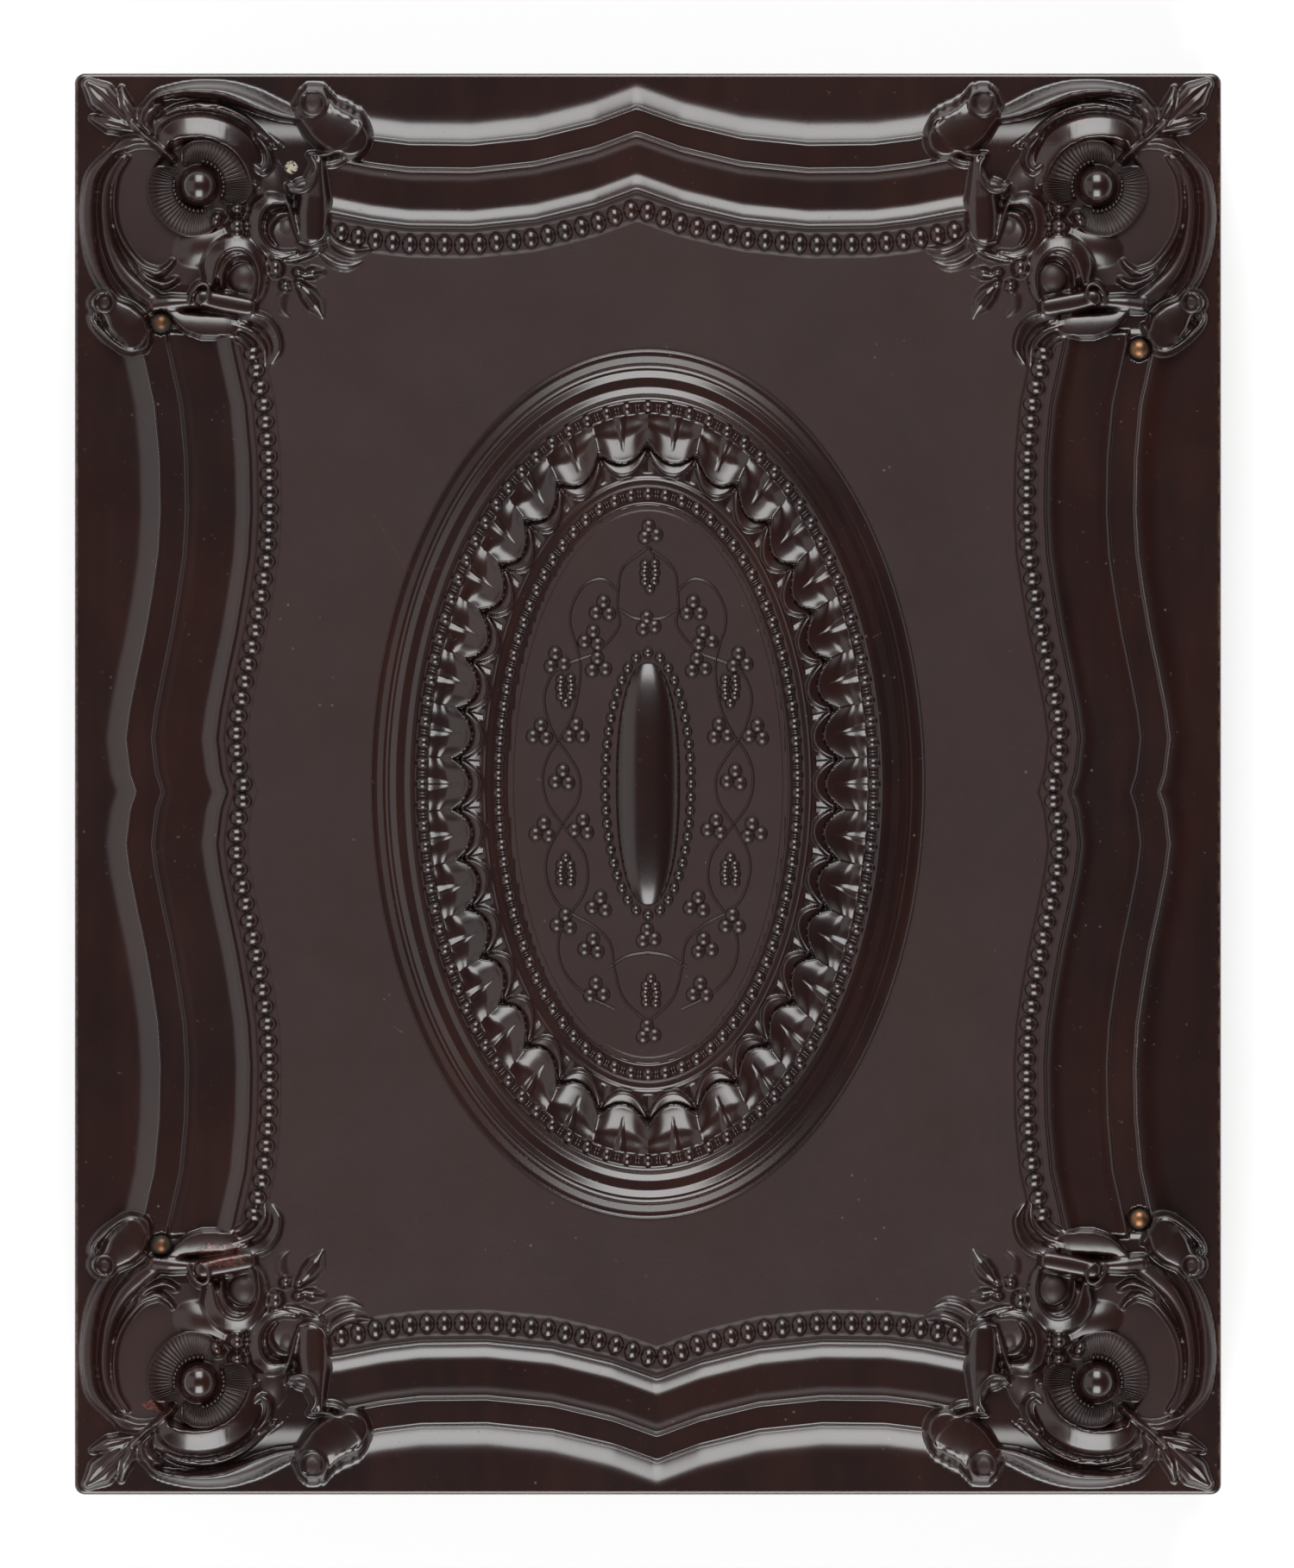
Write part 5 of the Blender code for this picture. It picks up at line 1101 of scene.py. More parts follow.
def turned_form(profile, columns=28):
    """A profile of radius and height, turned about its axis, whose ends lie on the axis."""
    profile = np.asarray(profile, float)
    angle = np.linspace(0.0, 2 * math.pi, columns, endpoint=False)
    points = np.stack([profile[:, :1] * np.cos(angle), profile[:, :1] * np.sin(angle),
                       np.broadcast_to(profile[:, 1:], (len(profile), columns))], axis=-1)
    return closed_at_poles(points.reshape(-1, 3), grid_faces(len(profile), columns, wrapped=True), columns)


RIVET_HEAD_RADIUS = 1.1
RIVET_PROFILE = ((0.0, 0.0), (0.3, -0.03), (0.55, -0.11), (0.8, -0.27), (0.98, -0.48), (1.08, -0.68),
                 (1.1, -0.8), (1.1, -1.0), (0.8, -1.0), (0.8, -2.8), (0.0, -2.8))


def pins_of(half):
    """A half's four face pins: kind, node, its middle, and the level of its head's top, in millimetres."""
    for kind in ("hinge", "clasp"):
        for end in ("upper", "lower"):
            node = f"{half}_{kind}_rivet_{end}"
            low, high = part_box(node)
            top = high.z if half == "cover" else low.z
            yield kind, node, ((low.x + high.x) / 2 / MM, (low.y + high.y) / 2 / MM), top / MM


def make_rivets(finish):
    """The copper pins of both faces: a domed head with a thin rim, on a shank."""
    for half, up in (("cover", 1), ("base", -1)):
        for kind, node, middle, top in pins_of(half):
            points, faces = turned_form(RIVET_PROFILE)
            rim = np.hypot(points[:, 0], points[:, 1]) / RIVET_HEAD_RADIUS
            points[:, :2] += middle
            points[:, 2] = top + up * points[:, 2]
            marks = {"rim": rim, "patina": np.full(len(rim), 1.0 if kind == "hinge" else 0.0)}
            new_piece(f"{node}_pin", half, finish, points, faces[:, ::up], marks,
                      replaced=[node])


# The metalwork's nodes come in pairs, upper and lower. A hook is a body of its own.
METAL_PAIRS = (("base", "base_hinge_leaf"), ("base", "base_clasp_strap"), ("base", "hinge_pin"),
               ("base", "clasp_pivot"), ("cover", "cover_hinge_leaf"), ("cover", "cover_clasp_strap"),
               ("cover", "clasp_stud"), (None, "clasp_hook"))
# Faces that turn by less than the first angle are joined, and edges that turn by more than the second worn.
FLAT_DEGREES, WORN_DEGREES = 0.5, 50.0


def make_metalwork(finish, edge):
    """Hinges and clasps: each solid merged, its flats joined, and its edges worn round."""
    for body, pair in METAL_PAIRS:
        for node in (f"{pair}_upper", f"{pair}_lower"):
            work = merged_solid(node)
            bmesh.ops.dissolve_limit(work, angle_limit=math.radians(FLAT_DEGREES), verts=work.verts[:],
                                     edges=work.edges[:])
            made = finished_bmesh(work, f"{node}_worn", body or node, finish, node)
            soft = made.modifiers.new("worn_edges", "BEVEL")
            soft.width, soft.segments, soft.angle_limit = edge, 2, math.radians(WORN_DEGREES)
            soft.use_clamp_overlap = True


def node_box(name):
    """A node's half sizes and its lowest and highest level, in millimetres."""
    low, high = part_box(name)
    return (high.x / MM, high.y / MM), low.z / MM, high.z / MM


# The mat: half axes of its window, its grid's columns, the share from which it is stamped, and its section,
# as shares of the way from the window to the plate's edge, with the level over its underside (0) or top (1).
MAT_WINDOW, MAT_COLUMNS, MAT_STAMPED_SHARE = (39.0, 53.0), 240, 0.25
MAT_SECTION = ((0, 0, 0), (0, 0, 0.1), (0.03, 1, -0.04), (0.06, 1, 0), (0.12, 1, 0), (0.14, 1, -0.12),
               (0.16, 1, 0), (0.2, 1, 0), (0.215, 1, -0.1), (0.23, 1, 0), (0.4, 1, 0), (0.6, 1, 0),
               (0.8, 1, 0), (0.985, 1, 0), (1, 1, -0.06), (1, 0, 0), (0.5, 0, 0))


def make_mat(finish):
    """The mat: rings that blend from the window's oval to the plate's rectangle, a bevel round the window,
    two engraved lines outside it, and its underside."""
    (half_x, half_y), *levels = node_box("brass_mat")
    angle = np.linspace(0.0, 2 * math.pi, MAT_COLUMNS, endpoint=False)
    way = np.stack([np.cos(angle), np.sin(angle)], axis=1)
    oval = MAT_WINDOW * way
    edge = way / np.abs(way / (half_x, half_y)).max(axis=1, keepdims=True)
    rings = [np.column_stack([oval + (edge - oval) * share, np.full(MAT_COLUMNS, levels[side] + more)])
             for share, side, more in MAT_SECTION]
    grid = np.stack(rings + rings[:1])
    faces = grid_faces(*grid.shape[:2], wrapped=True)
    count = len(rings) * MAT_COLUMNS
    faces = np.where(faces >= count, faces - count, faces)[:, ::-1]
    stamped = np.repeat([float(share >= MAT_STAMPED_SHARE) for share, *_ in MAT_SECTION], MAT_COLUMNS)
    made = new_piece("stamped_mat", "base", finish, grid[:-1].reshape(-1, 3), faces,
                     {"stamped": stamped}, replaced=["brass_mat"])
    made.data.set_sharp_from_angle(angle=math.radians(MAT_SHARP_DEGREES))


# The preserver's channel: its lip from the outer to the inner edge, the depth of its stamping and of its
# fold, the lozenges' pitch, middle and half height, and the middles and the width of the fine lines.
LIP_OUTER, LIP_INNER, LIP_COLUMNS, STAMPING, LIP_FOLD = -0.45, -4.2, 15, 0.14, 0.4
LOZENGE_PITCH, LOZENGE_MIDDLE, LOZENGE_HALF = 3.6, -2.3, 1.15
LIP_LINES, LIP_LINE_WIDTH = (-0.95, -3.7), 0.12
# Corner radii of the preserver and of the velvet strip, and the steps along them.
PRESERVER_RUN, STRIP_RUN = (0.5, 0.45), (1.0, 0.8)


def make_preserver(finish):
    """The preserver: a thin brass channel carried round the packet, its lip stamped with a running wave of
    lozenges between two fine lines."""
    (half_x, half_y), low, high = node_box("preserver_frame")
    points, outs = rounded_rectangle(half_x, half_y, *PRESERVER_RUN)
    place = np.concatenate([[0.0], np.cumsum(np.linalg.norm(np.diff(points, axis=0), axis=1))])
    lip = np.linspace(LIP_OUTER, LIP_INNER, LIP_COLUMNS)
    wave = np.cos(2 * math.pi * place / LOZENGE_PITCH)[:, None]
    across = np.abs((lip - LOZENGE_MIDDLE) / LOZENGE_HALF)
    lozenge = np.clip(1.0 - across * 1.3 - (1 - np.abs(wave)) * 0.9, 0.0, 1.0)
    lines = sum(np.exp(-((lip - middle) / LIP_LINE_WIDTH) ** 2) for middle in LIP_LINES)
    stamped = high - STAMPING + STAMPING * np.clip(lozenge * 1.6 + lines, 0.0, 1.0)
    under = high - LIP_FOLD
    outer = [(0.0, low), (0.0, high - 0.35), (-0.12, high - 0.08)]
    inner = [(LIP_INNER, under), (-LIP_FOLD, under), (-LIP_FOLD, low)]
    columns = [*outer, *((out, stamped[:, k]) for k, out in enumerate(lip)), *inner]
    profile = np.stack([np.column_stack([np.full(len(place), out), np.broadcast_to(z, len(place))])
                        for out, z in columns], axis=1)
    made_points, faces = carried_profile(points, outs, profile)
    made = new_piece("stamped_preserver", "base", finish, made_points, faces,
                     {"stamped": np.zeros(len(made_points))}, replaced=["preserver_frame"])
    made.data.set_sharp_from_angle(angle=math.radians(PRESERVER_SHARP_DEGREES))


def make_strip(finish):
    """The velvet strip: a soft band with a full top edge, carried round inside the base's walls."""
    (half_x, half_y), low, high = node_box("velvet_strip")
    points, outs = rounded_rectangle(half_x, half_y, *STRIP_RUN)
    profile = ((-0.06, low), (0.0, low + 0.5), (0.0, high - 0.9), (-0.08, high - 0.35),
               (-0.24, high - 0.06), (-0.4, high), (-0.56, high - 0.06), (-0.72, high - 0.35),
               (-0.8, high - 0.9), (-0.78, low + 0.5), (-0.74, low))
    made_points, faces = carried_profile(points, outs, profile)
    new_piece("pile_strip", "base", finish, made_points, faces, replaced=["velvet_strip"])


# The pad: its size inside its node's box and its lid's inside that, its columns and rows, how far its sides
# draw in, how round its edge is, how thick its sides are, how far over its box's foot its underside begins,
# how far its middle swells, and the depth of the pattern.
PAD_SHARE, PAD_LID_SHARES, PAD_GRID = 0.985, (0.985, 0.988), ((124, 160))
PAD_DRAWN, PAD_ROUND, PAD_SIDE, PAD_FOOT, PAD_SWELL, PAD_PRESS = 0.012, 1.7, 2.0, 1.2, 1.15, 0.42
# The pattern's border as shares of the pad's half sizes, and the fans' middle radius, half width and rim.
PRESS_BORDER_SHARES, PRESS_FAN = (0.93, 0.945), (10.0, 7.5, 19.0)


def pad_press(x, y, half_x, half_y):
    """Depth of the pattern pressed into the pad: a scalloped oval with a second line in it, a rosette of
    petals in the middle, a straight border, and fans of ribs in the corners. Each line's depth is a bell of
    the distance from it."""
    angle = np.arctan2(y / half_y, x / half_x)
    reach = np.hypot(x / half_x, y / half_y)

    def line(distance, width):
        return np.exp(-(distance / width) ** 2)

    scallop = 0.66 + 0.035 * np.abs(np.sin(9 * angle)) ** 0.7
    depth = line((reach - scallop) * half_x, 0.7)
    depth += 0.8 * line((reach - 0.6) * half_x, 0.5)
    petal = 0.3 * (0.45 + 0.55 * np.abs(np.cos(4 * angle)) ** 0.6)
    depth += line((reach - petal) * half_x * 0.8, 0.6)
    depth += 0.8 * line((reach - 0.07) * half_x, 0.5)
    in_x, in_y = half_x * PRESS_BORDER_SHARES[0] - np.abs(x), half_y * PRESS_BORDER_SHARES[1] - np.abs(y)
    border = np.minimum(in_x, in_y)
    depth += 0.9 * line(border, 0.6)
    corner, turn = np.hypot(in_x, in_y), np.arctan2(in_y, in_x)
    middle, half_width, rim = PRESS_FAN
    fan = (0.5 + 0.5 * np.cos(18 * turn)) * np.clip(1 - np.abs(corner - middle) / half_width, 0.0, 1.0)
    depth += (0.75 * fan + line(corner - rim, 0.6)) * (border > 0.5)
    return np.clip(depth, 0.0, 1.0)


def make_pad(finish):
    """The pad: a closed cushion, full in the middle and drawn in along its sides, flat against its board,
    whose underside swells by one less the fourth powers of the shares of its half sizes."""
    (half_x, half_y), low, high = node_box("velvet_pad")
    share_x, share_y = np.meshgrid(*(np.linspace(-1, 1, count) for count in PAD_GRID))
    x = share_x * half_x * (1 - PAD_DRAWN * (1 - share_y ** 2)) * PAD_SHARE
    y = share_y * half_y * (1 - PAD_DRAWN * (1 - share_x ** 2)) * PAD_SHARE
    crown = np.minimum(1 - share_x ** 4, 1 - share_y ** 4)
    edge = np.minimum(half_x * (1 - np.abs(share_x)), half_y * (1 - np.abs(share_y)))
    full = np.sqrt(np.clip(1 - (1 - np.minimum(edge / PAD_ROUND, 1.0)) ** 2, 0.0, 1.0))
    under = high - PAD_SIDE - (high - PAD_SIDE - low - PAD_FOOT) * full - PAD_SWELL * crown
    under += PAD_PRESS * pad_press(x, y, half_x, half_y) * full
    bottom = np.stack([x, y, under], axis=-1)
    lid = np.stack([x * PAD_LID_SHARES[0], y * PAD_LID_SHARES[1], np.full(x.shape, high)], axis=-1)
    faces, size = grid_faces(*x.shape), x.size
    ring = border(np.arange(size).reshape(*x.shape, 1))[:, 0]
    around = np.stack([ring, np.roll(ring, -1), np.roll(ring, -1) + size, ring + size], axis=1)
    points = np.concatenate([bottom.reshape(-1, 3), lid.reshape(-1, 3)])
    made = new_piece("crowned_pad", "cover", finish, points,
                     np.concatenate([faces[:, ::-1], faces + size, around]), replaced=["velvet_pad"])


def border(points):
    """The outermost points of a grid, in order round it against the clock, seen from above."""
    return np.concatenate([points[0, :-1], points[:-1, -1], points[-1, :0:-1], points[:0:-1, 0]])


def connect(tree, value, socket):
    """Links a wire or another socket to a socket, or sets the socket to a plain value."""
    if isinstance(value, Wire):
        value = value.socket
    if isinstance(value, bpy.types.NodeSocket):
        tree.links.new(value, socket)
    else:
        socket.default_value = value


class Wire:
    """A shader socket that takes part in sums: each operator adds the Math node that works it out."""

    def __init__(self, tree, socket):
        self.tree, self.socket = tree, socket

    def math(self, operation, *others, clamp=False):
        node = self.tree.nodes.new("ShaderNodeMath")
        node.operation, node.use_clamp = operation, clamp
        for place, value in zip(node.inputs, (self, *others)):
            connect(self.tree, value, place)
        return Wire(self.tree, node.outputs[0])

    def __add__(self, other):
        return self.math("ADD", other)

    def __mul__(self, other):
        return self.math("MULTIPLY", other)

    def __sub__(self, other):
        return self.math("SUBTRACT", other)

    def __rsub__(self, other):
        return (self * -1.0).math("ADD", other)

    __radd__ = __add__

    def between(self, low, high):
        """0 at low, 1 at high, and held to that range."""
        return ((self - low) * (1.0 / (high - low))).math("ADD", 0.0, clamp=True)


class Finish:
    """One material: its Principled shader, and calls that add nodes to it."""

    def __init__(self, name, fixed):
        self.material = bpy.data.materials.new(name)
        self.material.use_nodes = True
        self.tree = self.material.node_tree
        self.shader = self.tree.nodes["Principled BSDF"]
        for key, value in fixed.items():
            self.shader.inputs[key].default_value = value
        self.place = self.node("ShaderNodeTexCoord").outputs["Object"]

    def node(self, kind, settings=None, values=None):
        """A node of a kind, with its settings made first and then the values or links of its sockets."""
        made = self.tree.nodes.new(kind)
        for key, value in (settings or {}).items():
            setattr(made, key, value)
        for key, value in (values or {}).items():
            connect(self.tree, value, made.inputs[key])
        return made

    def wire(self, output, kind, settings=None, values=None):
        """A node's output by name, as a wire."""
        return Wire(self.tree, self.node(kind, settings, values).outputs[output])

    def mark(self, name):
        return self.wire("Fac", "ShaderNodeAttribute", {"attribute_name": name, "attribute_type": "GEOMETRY"})

    def scaled(self, scale):
        """The object's own metres, stretched by a scale on each axis."""
        return self.node("ShaderNodeMapping", None, {"Vector": self.place, "Scale": scale}).outputs["Vector"]

    def reach(self, place):
        """How far a place is from the middle."""
        return self.wire("Value", "ShaderNodeVectorMath", {"operation": "LENGTH"}, {0: place})

    def noise(self, scale, detail=3.0, roughness=0.55, stretch=None):
        """Noise in the object's own metres, from 0 to 1, which may be stretched by a scale on each axis."""
        place = self.scaled(stretch) if stretch else self.place
        return self.wire("Fac", "ShaderNodeTexNoise", None,
                         {"Vector": place, "Scale": scale, "Detail": detail, "Roughness": roughness})

    def cells(self, scale):
        """Distance to the middle of each cell of a scatter of cells."""
        return self.wire("Distance", "ShaderNodeTexVoronoi", None, {"Vector": self.place, "Scale": scale})

    def hairline(self, x0, y0, x1, y1):
        """1 on a thin and uneven line between two places of the cover's face, in millimetres."""
        axes = self.node("ShaderNodeSeparateXYZ", None, {"Vector": self.place})
        x, y, z = (Wire(self.tree, axes.outputs[k]) for k in range(3))
        length = math.hypot(x1 - x0, y1 - y0) * MM
        u, v = (x1 - x0) * MM / length, (y1 - y0) * MM / length
        along = (x - x0 * MM) * u + (y - y0 * MM) * v
        off = ((x - x0 * MM) * v - (y - y0 * MM) * u).math("ABSOLUTE")
        inside = along.between(0.0, 0.0003) * (length - along).between(0.0, 0.0003)
        height = z.between(0.0129, 0.0131)
        on_line = inside * height * (1.0 - off.between(0.00003, 0.00008))
        return on_line * self.noise(1800.0, 2.0).between(0.35, 0.6)

    def blend(self, amount, first, second):
        """Two colours mixed by an amount."""
        made = self.node("ShaderNodeMix", {"data_type": "RGBA"})
        inputs = {socket.identifier: socket for socket in made.inputs}
        connect(self.tree, amount, inputs["Factor_Float"])
        for key, value in (("A_Color", first), ("B_Color", second)):
            is_socket = isinstance(value, bpy.types.NodeSocket)
            connect(self.tree, value if is_socket else (*value, 1.0), inputs[key])
        return next(socket for socket in made.outputs if socket.identifier == "Result_Color")

    def bump(self, height, distance, strength=1.0):
        values = {"Height": height, "Distance": distance, "Strength": strength}
        self.feed("Normal", self.node("ShaderNodeBump", None, values).outputs["Normal"])

    def feed(self, name, value):
        connect(self.tree, value, self.shader.inputs[name])


def moulded_finish(colours):
    """Shellac composition: polished dark brown with red-brown clouds, dull and grained where it is matte,
    with pale specks, fine scratches, one chip, scuffs and a worn line along the edge."""
    finish = Finish("moulded_brown", {"IOR": 1.56, "Coat Roughness": 0.2})
    matte, wear, chip, loss = (finish.mark(name) for name in ("matte", "wear", "chip", "loss"))
    clouds = finish.noise(55.0, 4.0).between(0.38, 0.66)
    drag = finish.noise(260.0, 3.0, stretch=(1.0, 0.14, 1.0)).between(0.42, 0.68)
    grain = finish.noise(2400.0, 2.0)
    dapple = finish.noise(420.0, 3.0).between(0.3, 0.7)
    colour = finish.blend(clouds * 0.55 + drag * 0.45, colours.dark, colours.warm)
    dulled = matte * (0.62 + dapple * 0.18 + grain.between(0.3, 0.7) * 0.14)
    colour = finish.blend(dulled, colour, colours.dull)
    specks = (1.0 - finish.cells(700.0).between(0.084, 0.12)) * finish.noise(140.0, 2.0).between(0.6, 0.68)
    colour = finish.blend(specks * 0.7, colour, colours.speck)
    scuffs = finish.noise(900.0, 4.0, 0.7).between(0.46, 0.6) * wear
    colour = finish.blend(scuffs * 0.85, colour, colours.worn)
    bare = (chip * finish.noise(2600.0, 3.0).between(0.3, 0.55)).between(0.25, 0.5)
    colour = finish.blend(bare, colour, colours.bare)
    flakes = finish.noise(1300.0, 4.0, 0.65)
    broken = (loss * 0.7 + (flakes - 0.5) * 1.6).between(0.3, 0.42)
    colour = finish.blend(broken * (0.45 + flakes.between(0.4, 0.65) * 0.55), colour, colours.inside)
    for *ends, red in SCRATCHES:
        line = finish.hairline(*ends)
        colour = finish.blend(line * (0.55 if red else 0.8), colour, colours.inside if red else colours.speck)
    finish.feed("Base Color", colour)
    smear = finish.noise(90.0, 3.0).between(0.3, 0.75)
    finish.feed("Roughness", (0.25 + matte * 0.19 + smear * 0.05 + scuffs * 0.25) * (1.0 - broken * 0.5))
    finish.feed("Coat Weight", (1.0 - matte) * (1.0 - bare))
    scratch = finish.noise(300.0, 2.0, stretch=(1.0, 0.04, 1.0)).between(0.66, 0.7)
    height = grain * (matte * 0.95 + 0.05) + finish.noise(5200.0, 1.0) * matte * 0.4
    height += scratch * matte * 0.5 + broken * flakes * 12.0
    finish.bump(height, 0.00002, 0.7)
    return finish.material


def brass_finish(colours):
    """Old gilt brass: yellow metal with brown tarnish in clouds and fine brushing."""
    finish = Finish("gilt_brass", {})
    tarnish = finish.noise(420.0, 5.0, 0.65).between(0.42, 0.72)
    deep = finish.noise(1500.0, 3.0).between(0.55, 0.8)
    colour = finish.blend(tarnish * 0.7, colours.brass, colours.tarnish)
    colour = finish.blend(deep * 0.5, colour, colours.grime)
    finish.feed("Base Color", colour)
    finish.feed("Roughness", 0.26 + tarnish * 0.2 + deep * 0.12)
    finish.feed("Metallic", 1.0 - deep * 0.35)
    finish.bump(finish.noise(3000.0, 2.0, stretch=(1.0, 0.08, 1.0)), 0.00001, 0.4)
    return finish.material


def copper_finish(colours):
    """Copper pins: worn bright on the crown, brown toward the rim with a green-black line of old polish.
    Those marked with patina are dark but for their middle."""
    finish = Finish("copper_pins", {})
    rim, patina = finish.mark("rim"), finish.mark("patina")
    clouds = finish.noise(1500.0, 4.0).between(0.35, 0.7)
    colour = finish.blend(clouds * 0.5, colours.copper, colours.copper_dark)
    old = (patina * (rim * 1.5 + clouds * 0.5 + 0.15)).between(0.1, 0.7)
    colour = finish.blend(old * 0.85, colour, colours.copper_dark)
    ring = (rim + clouds * 0.15 + patina * 0.12).between(0.72, 0.98)
    colour = finish.blend(ring, colour, colours.verdigris)
    finish.feed("Base Color", colour)
    finish.feed("Roughness", 0.36 + clouds * 0.14 + ring * 0.2)
    finish.feed("Metallic", 1.0 - ring * 0.6 - old * 0.25)
    finish.bump(finish.noise(4000.0, 2.0), 0.00001, 0.35)
    return finish.material


def stamped_finish(colours):
    """Thin stamped brass: bright lines, and a fine sanded ground where it is marked as stamped."""
    finish = Finish("stamped_brass", {"Metallic": 1.0})
    ground = finish.mark("stamped")
    tarnish = finish.noise(180.0, 5.0, 0.6).between(0.5, 0.8)
    colour = finish.blend(tarnish * 0.45, colours.brass, colours.tarnish)
    finish.feed("Base Color", colour)
    finish.feed("Roughness", 0.36 + ground * 0.14 + tarnish * 0.1)
    finish.bump(finish.cells(2600.0) * ground * 0.8 + finish.noise(900.0, 2.0) * 0.15, 0.00003, 0.7)
    return finish.material


def silver_finish(colours):
    """The bare plate: mirror silver, finely buffed, that turns straw, brown and blue toward the window."""
    finish = Finish("silvered_plate", {"Metallic": 1.0})
    halo = finish.reach(finish.scaled((1 / 0.041, 1 / 0.055, 0.0))) + (finish.noise(60.0, 4.0) - 0.5) * 0.25
    colour = finish.blend(halo.between(0.62, 0.85), colours.silver, colours.straw)
    colour = finish.blend(halo.between(0.85, 0.95), colour, colours.tarnish)
    colour = finish.blend(halo.between(0.93, 1.05), colour, colours.blued)
    finish.feed("Base Color", colour)
    finish.feed("Roughness", 0.08 + halo.between(0.7, 1.0) * 0.25 + finish.noise(30.0, 3.0) * 0.06)
    finish.bump(finish.noise(2200.0, 1.0, stretch=(1.0, 0.03, 1.0)), 0.000004, 0.4)
    return finish.material


def glass_finish(colours):
    """Old window glass with a faint green cast and a little dust."""
    finish = Finish("cover_glass", {"IOR": 1.5, "Transmission Weight": 1.0,
                                    "Base Color": (*colours.glass, 1.0)})
    finish.feed("Roughness", 0.015 + finish.noise(240.0, 4.0).between(0.62, 0.8) * 0.12)
    return finish.material


def velvet_finish(colours):
    """Silk velvet: a dark ground, pale where the pile leans and is crushed, with a fine nap and painted shade
    between its tufts.
    """
    finish = Finish("red_velvet", {"Roughness": 0.85, "Sheen Weight": 0.35, "Sheen Roughness": 0.35,
                                   "Sheen Tint": (*colours.velvet_sheen, 1.0)})
    nap = finish.noise(70.0, 4.0, 0.6, stretch=(1.0, 0.45, 1.0)).between(0.38, 0.68)
    pile = finish.noise(2800.0, 2.0)
    colour = finish.blend(nap * 0.8, colours.velvet, colours.velvet_light)
    # Painted shade: a darker colour laid by the fine pile noise, standing for the shade that falls between
    # the tufts.
    colour = finish.blend(pile.between(0.35, 0.75) * 0.35, colour, colours.velvet_pile_shade)
    finish.feed("Base Color", colour)
    finish.bump(pile + finish.noise(900.0, 2.0) * 0.5, 0.00012, 0.8)
    return finish.material


def card_finish(colours):
    """Straw card: fibres and foxing."""
    finish = Finish("pad_card", {"Roughness": 0.9})
    fibres = finish.noise(900.0, 4.0, 0.7, stretch=(1.0, 0.2, 1.0)).between(0.3, 0.75)
    spots = finish.noise(120.0, 4.0).between(0.55, 0.75)
    colour = finish.blend(fibres * 0.6, colours.card, colours.card_dark)
    finish.feed("Base Color", finish.blend(spots * 0.5, colour, colours.tarnish))
    finish.bump(fibres, 0.00004, 0.5)
    return finish.material


FINISH_MAKERS = {"moulded": moulded_finish, "brass": brass_finish, "copper": copper_finish,
                 "stamped": stamped_finish, "silver": silver_finish, "glass": glass_finish,
                 "velvet": velvet_finish, "card": card_finish}
FINISHES = {}


def finish_of(name, context):
    """A finish by its name, made the first time that it is asked for."""
    if name not in FINISHES:
        FINISHES[name] = FINISH_MAKERS[name](context.scene.union_case_colours)
    return FINISHES[name]


def dress(node, finish):
    """Gives a solid that is shown as it is its finish."""
    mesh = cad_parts[node].data
    mesh.materials.clear()
    mesh.materials.append(finish)


def colour(label, text, rgb):
    """A colour property of the panel."""
    return FloatVectorProperty(name=label, description=text, subtype="COLOR", size=3, default=rgb, min=0.0,
                               max=1.0)


class CaseColours(PropertyGroup):
    """Colours of the case's finishes."""

    dark: colour("Polish", "Polished composition", (0.0150, 0.0045, 0.0043))
    warm: colour("Red brown", "Clouds in the polished composition", (0.0330, 0.0090, 0.0055))
    dull: colour("Field", "Matte composition of the field", (0.0355, 0.0160, 0.0145))
    speck: colour("Specks", "Pale specks", (0.16, 0.12, 0.09))
    worn: colour("Wear", "Worn edge", (0.13, 0.075, 0.045))
    bare: colour("Bare filler", "Inside of a chip", (0.62, 0.55, 0.42))
    inside: colour("Broken", "Composition where its surface has come off", (0.11, 0.022, 0.012))
    brass: colour("Brass", "Gilt brass", (0.76, 0.54, 0.23))
    tarnish: colour("Tarnish", "Tarnished brass", (0.26, 0.14, 0.05))
    grime: colour("Grime", "Dark grime on the metal", (0.05, 0.032, 0.02))
    copper: colour("Copper", "Bright copper", (0.42, 0.21, 0.11))
    copper_dark: colour("Dark copper", "Brown copper", (0.12, 0.05, 0.027))
    verdigris: colour("Verdigris", "Old polish and green round the pins", (0.035, 0.04, 0.03))
    silver: colour("Silver", "Clean silver", (0.62, 0.62, 0.6))
    straw: colour("Straw", "First tarnish of silver", (0.45, 0.36, 0.2))
    blued: colour("Blue", "Deep tarnish of silver", (0.06, 0.08, 0.14))
    glass: colour("Glass", "Cast of the glass", (0.93, 0.97, 0.94))
    velvet: colour("Velvet", "Velvet ground", (0.16, 0.008, 0.018))
    velvet_light: colour("Leaning pile", "Velvet where its pile leans", (0.27, 0.02, 0.035))
    # Painted shade: the colour laid between the velvet's tufts where shade falls in the pile.
    velvet_pile_shade: colour("Painted pile shade", "Painted shade between the tufts of the velvet", (0.05, 0.003, 0.008))
    velvet_sheen: colour("Sheen", "Sheen of the velvet", (0.9, 0.35, 0.4))
    card: colour("Card", "Straw card", (0.42, 0.33, 0.22))
    card_dark: colour("Dark card", "Fibres of the card", (0.26, 0.19, 0.12))


class CaseSizes(PropertyGroup):
    """Sizes of the dressed case."""

    relief_step: FloatProperty(name="Relief step", description="Grid step over the cover's relief",
                               unit="LENGTH", default=RELIEF_STEP * MM, min=0.00005, max=0.002)
    plain_step: FloatProperty(name="Plain step", description="Grid step over the plain field", unit="LENGTH",
                              default=PLAIN_STEP * MM, min=0.0001, max=0.005)
    metal_edge: FloatProperty(name="Metal edge", description="How far the metal's edges are worn round",
                              unit="LENGTH", default=0.00007, min=0.0, max=0.0005)
    back_coarsening: FloatProperty(name="Back coarsening",
                                   description="How much wider the base's grid steps are", default=1.9,
                                   min=1.0, max=5.0)


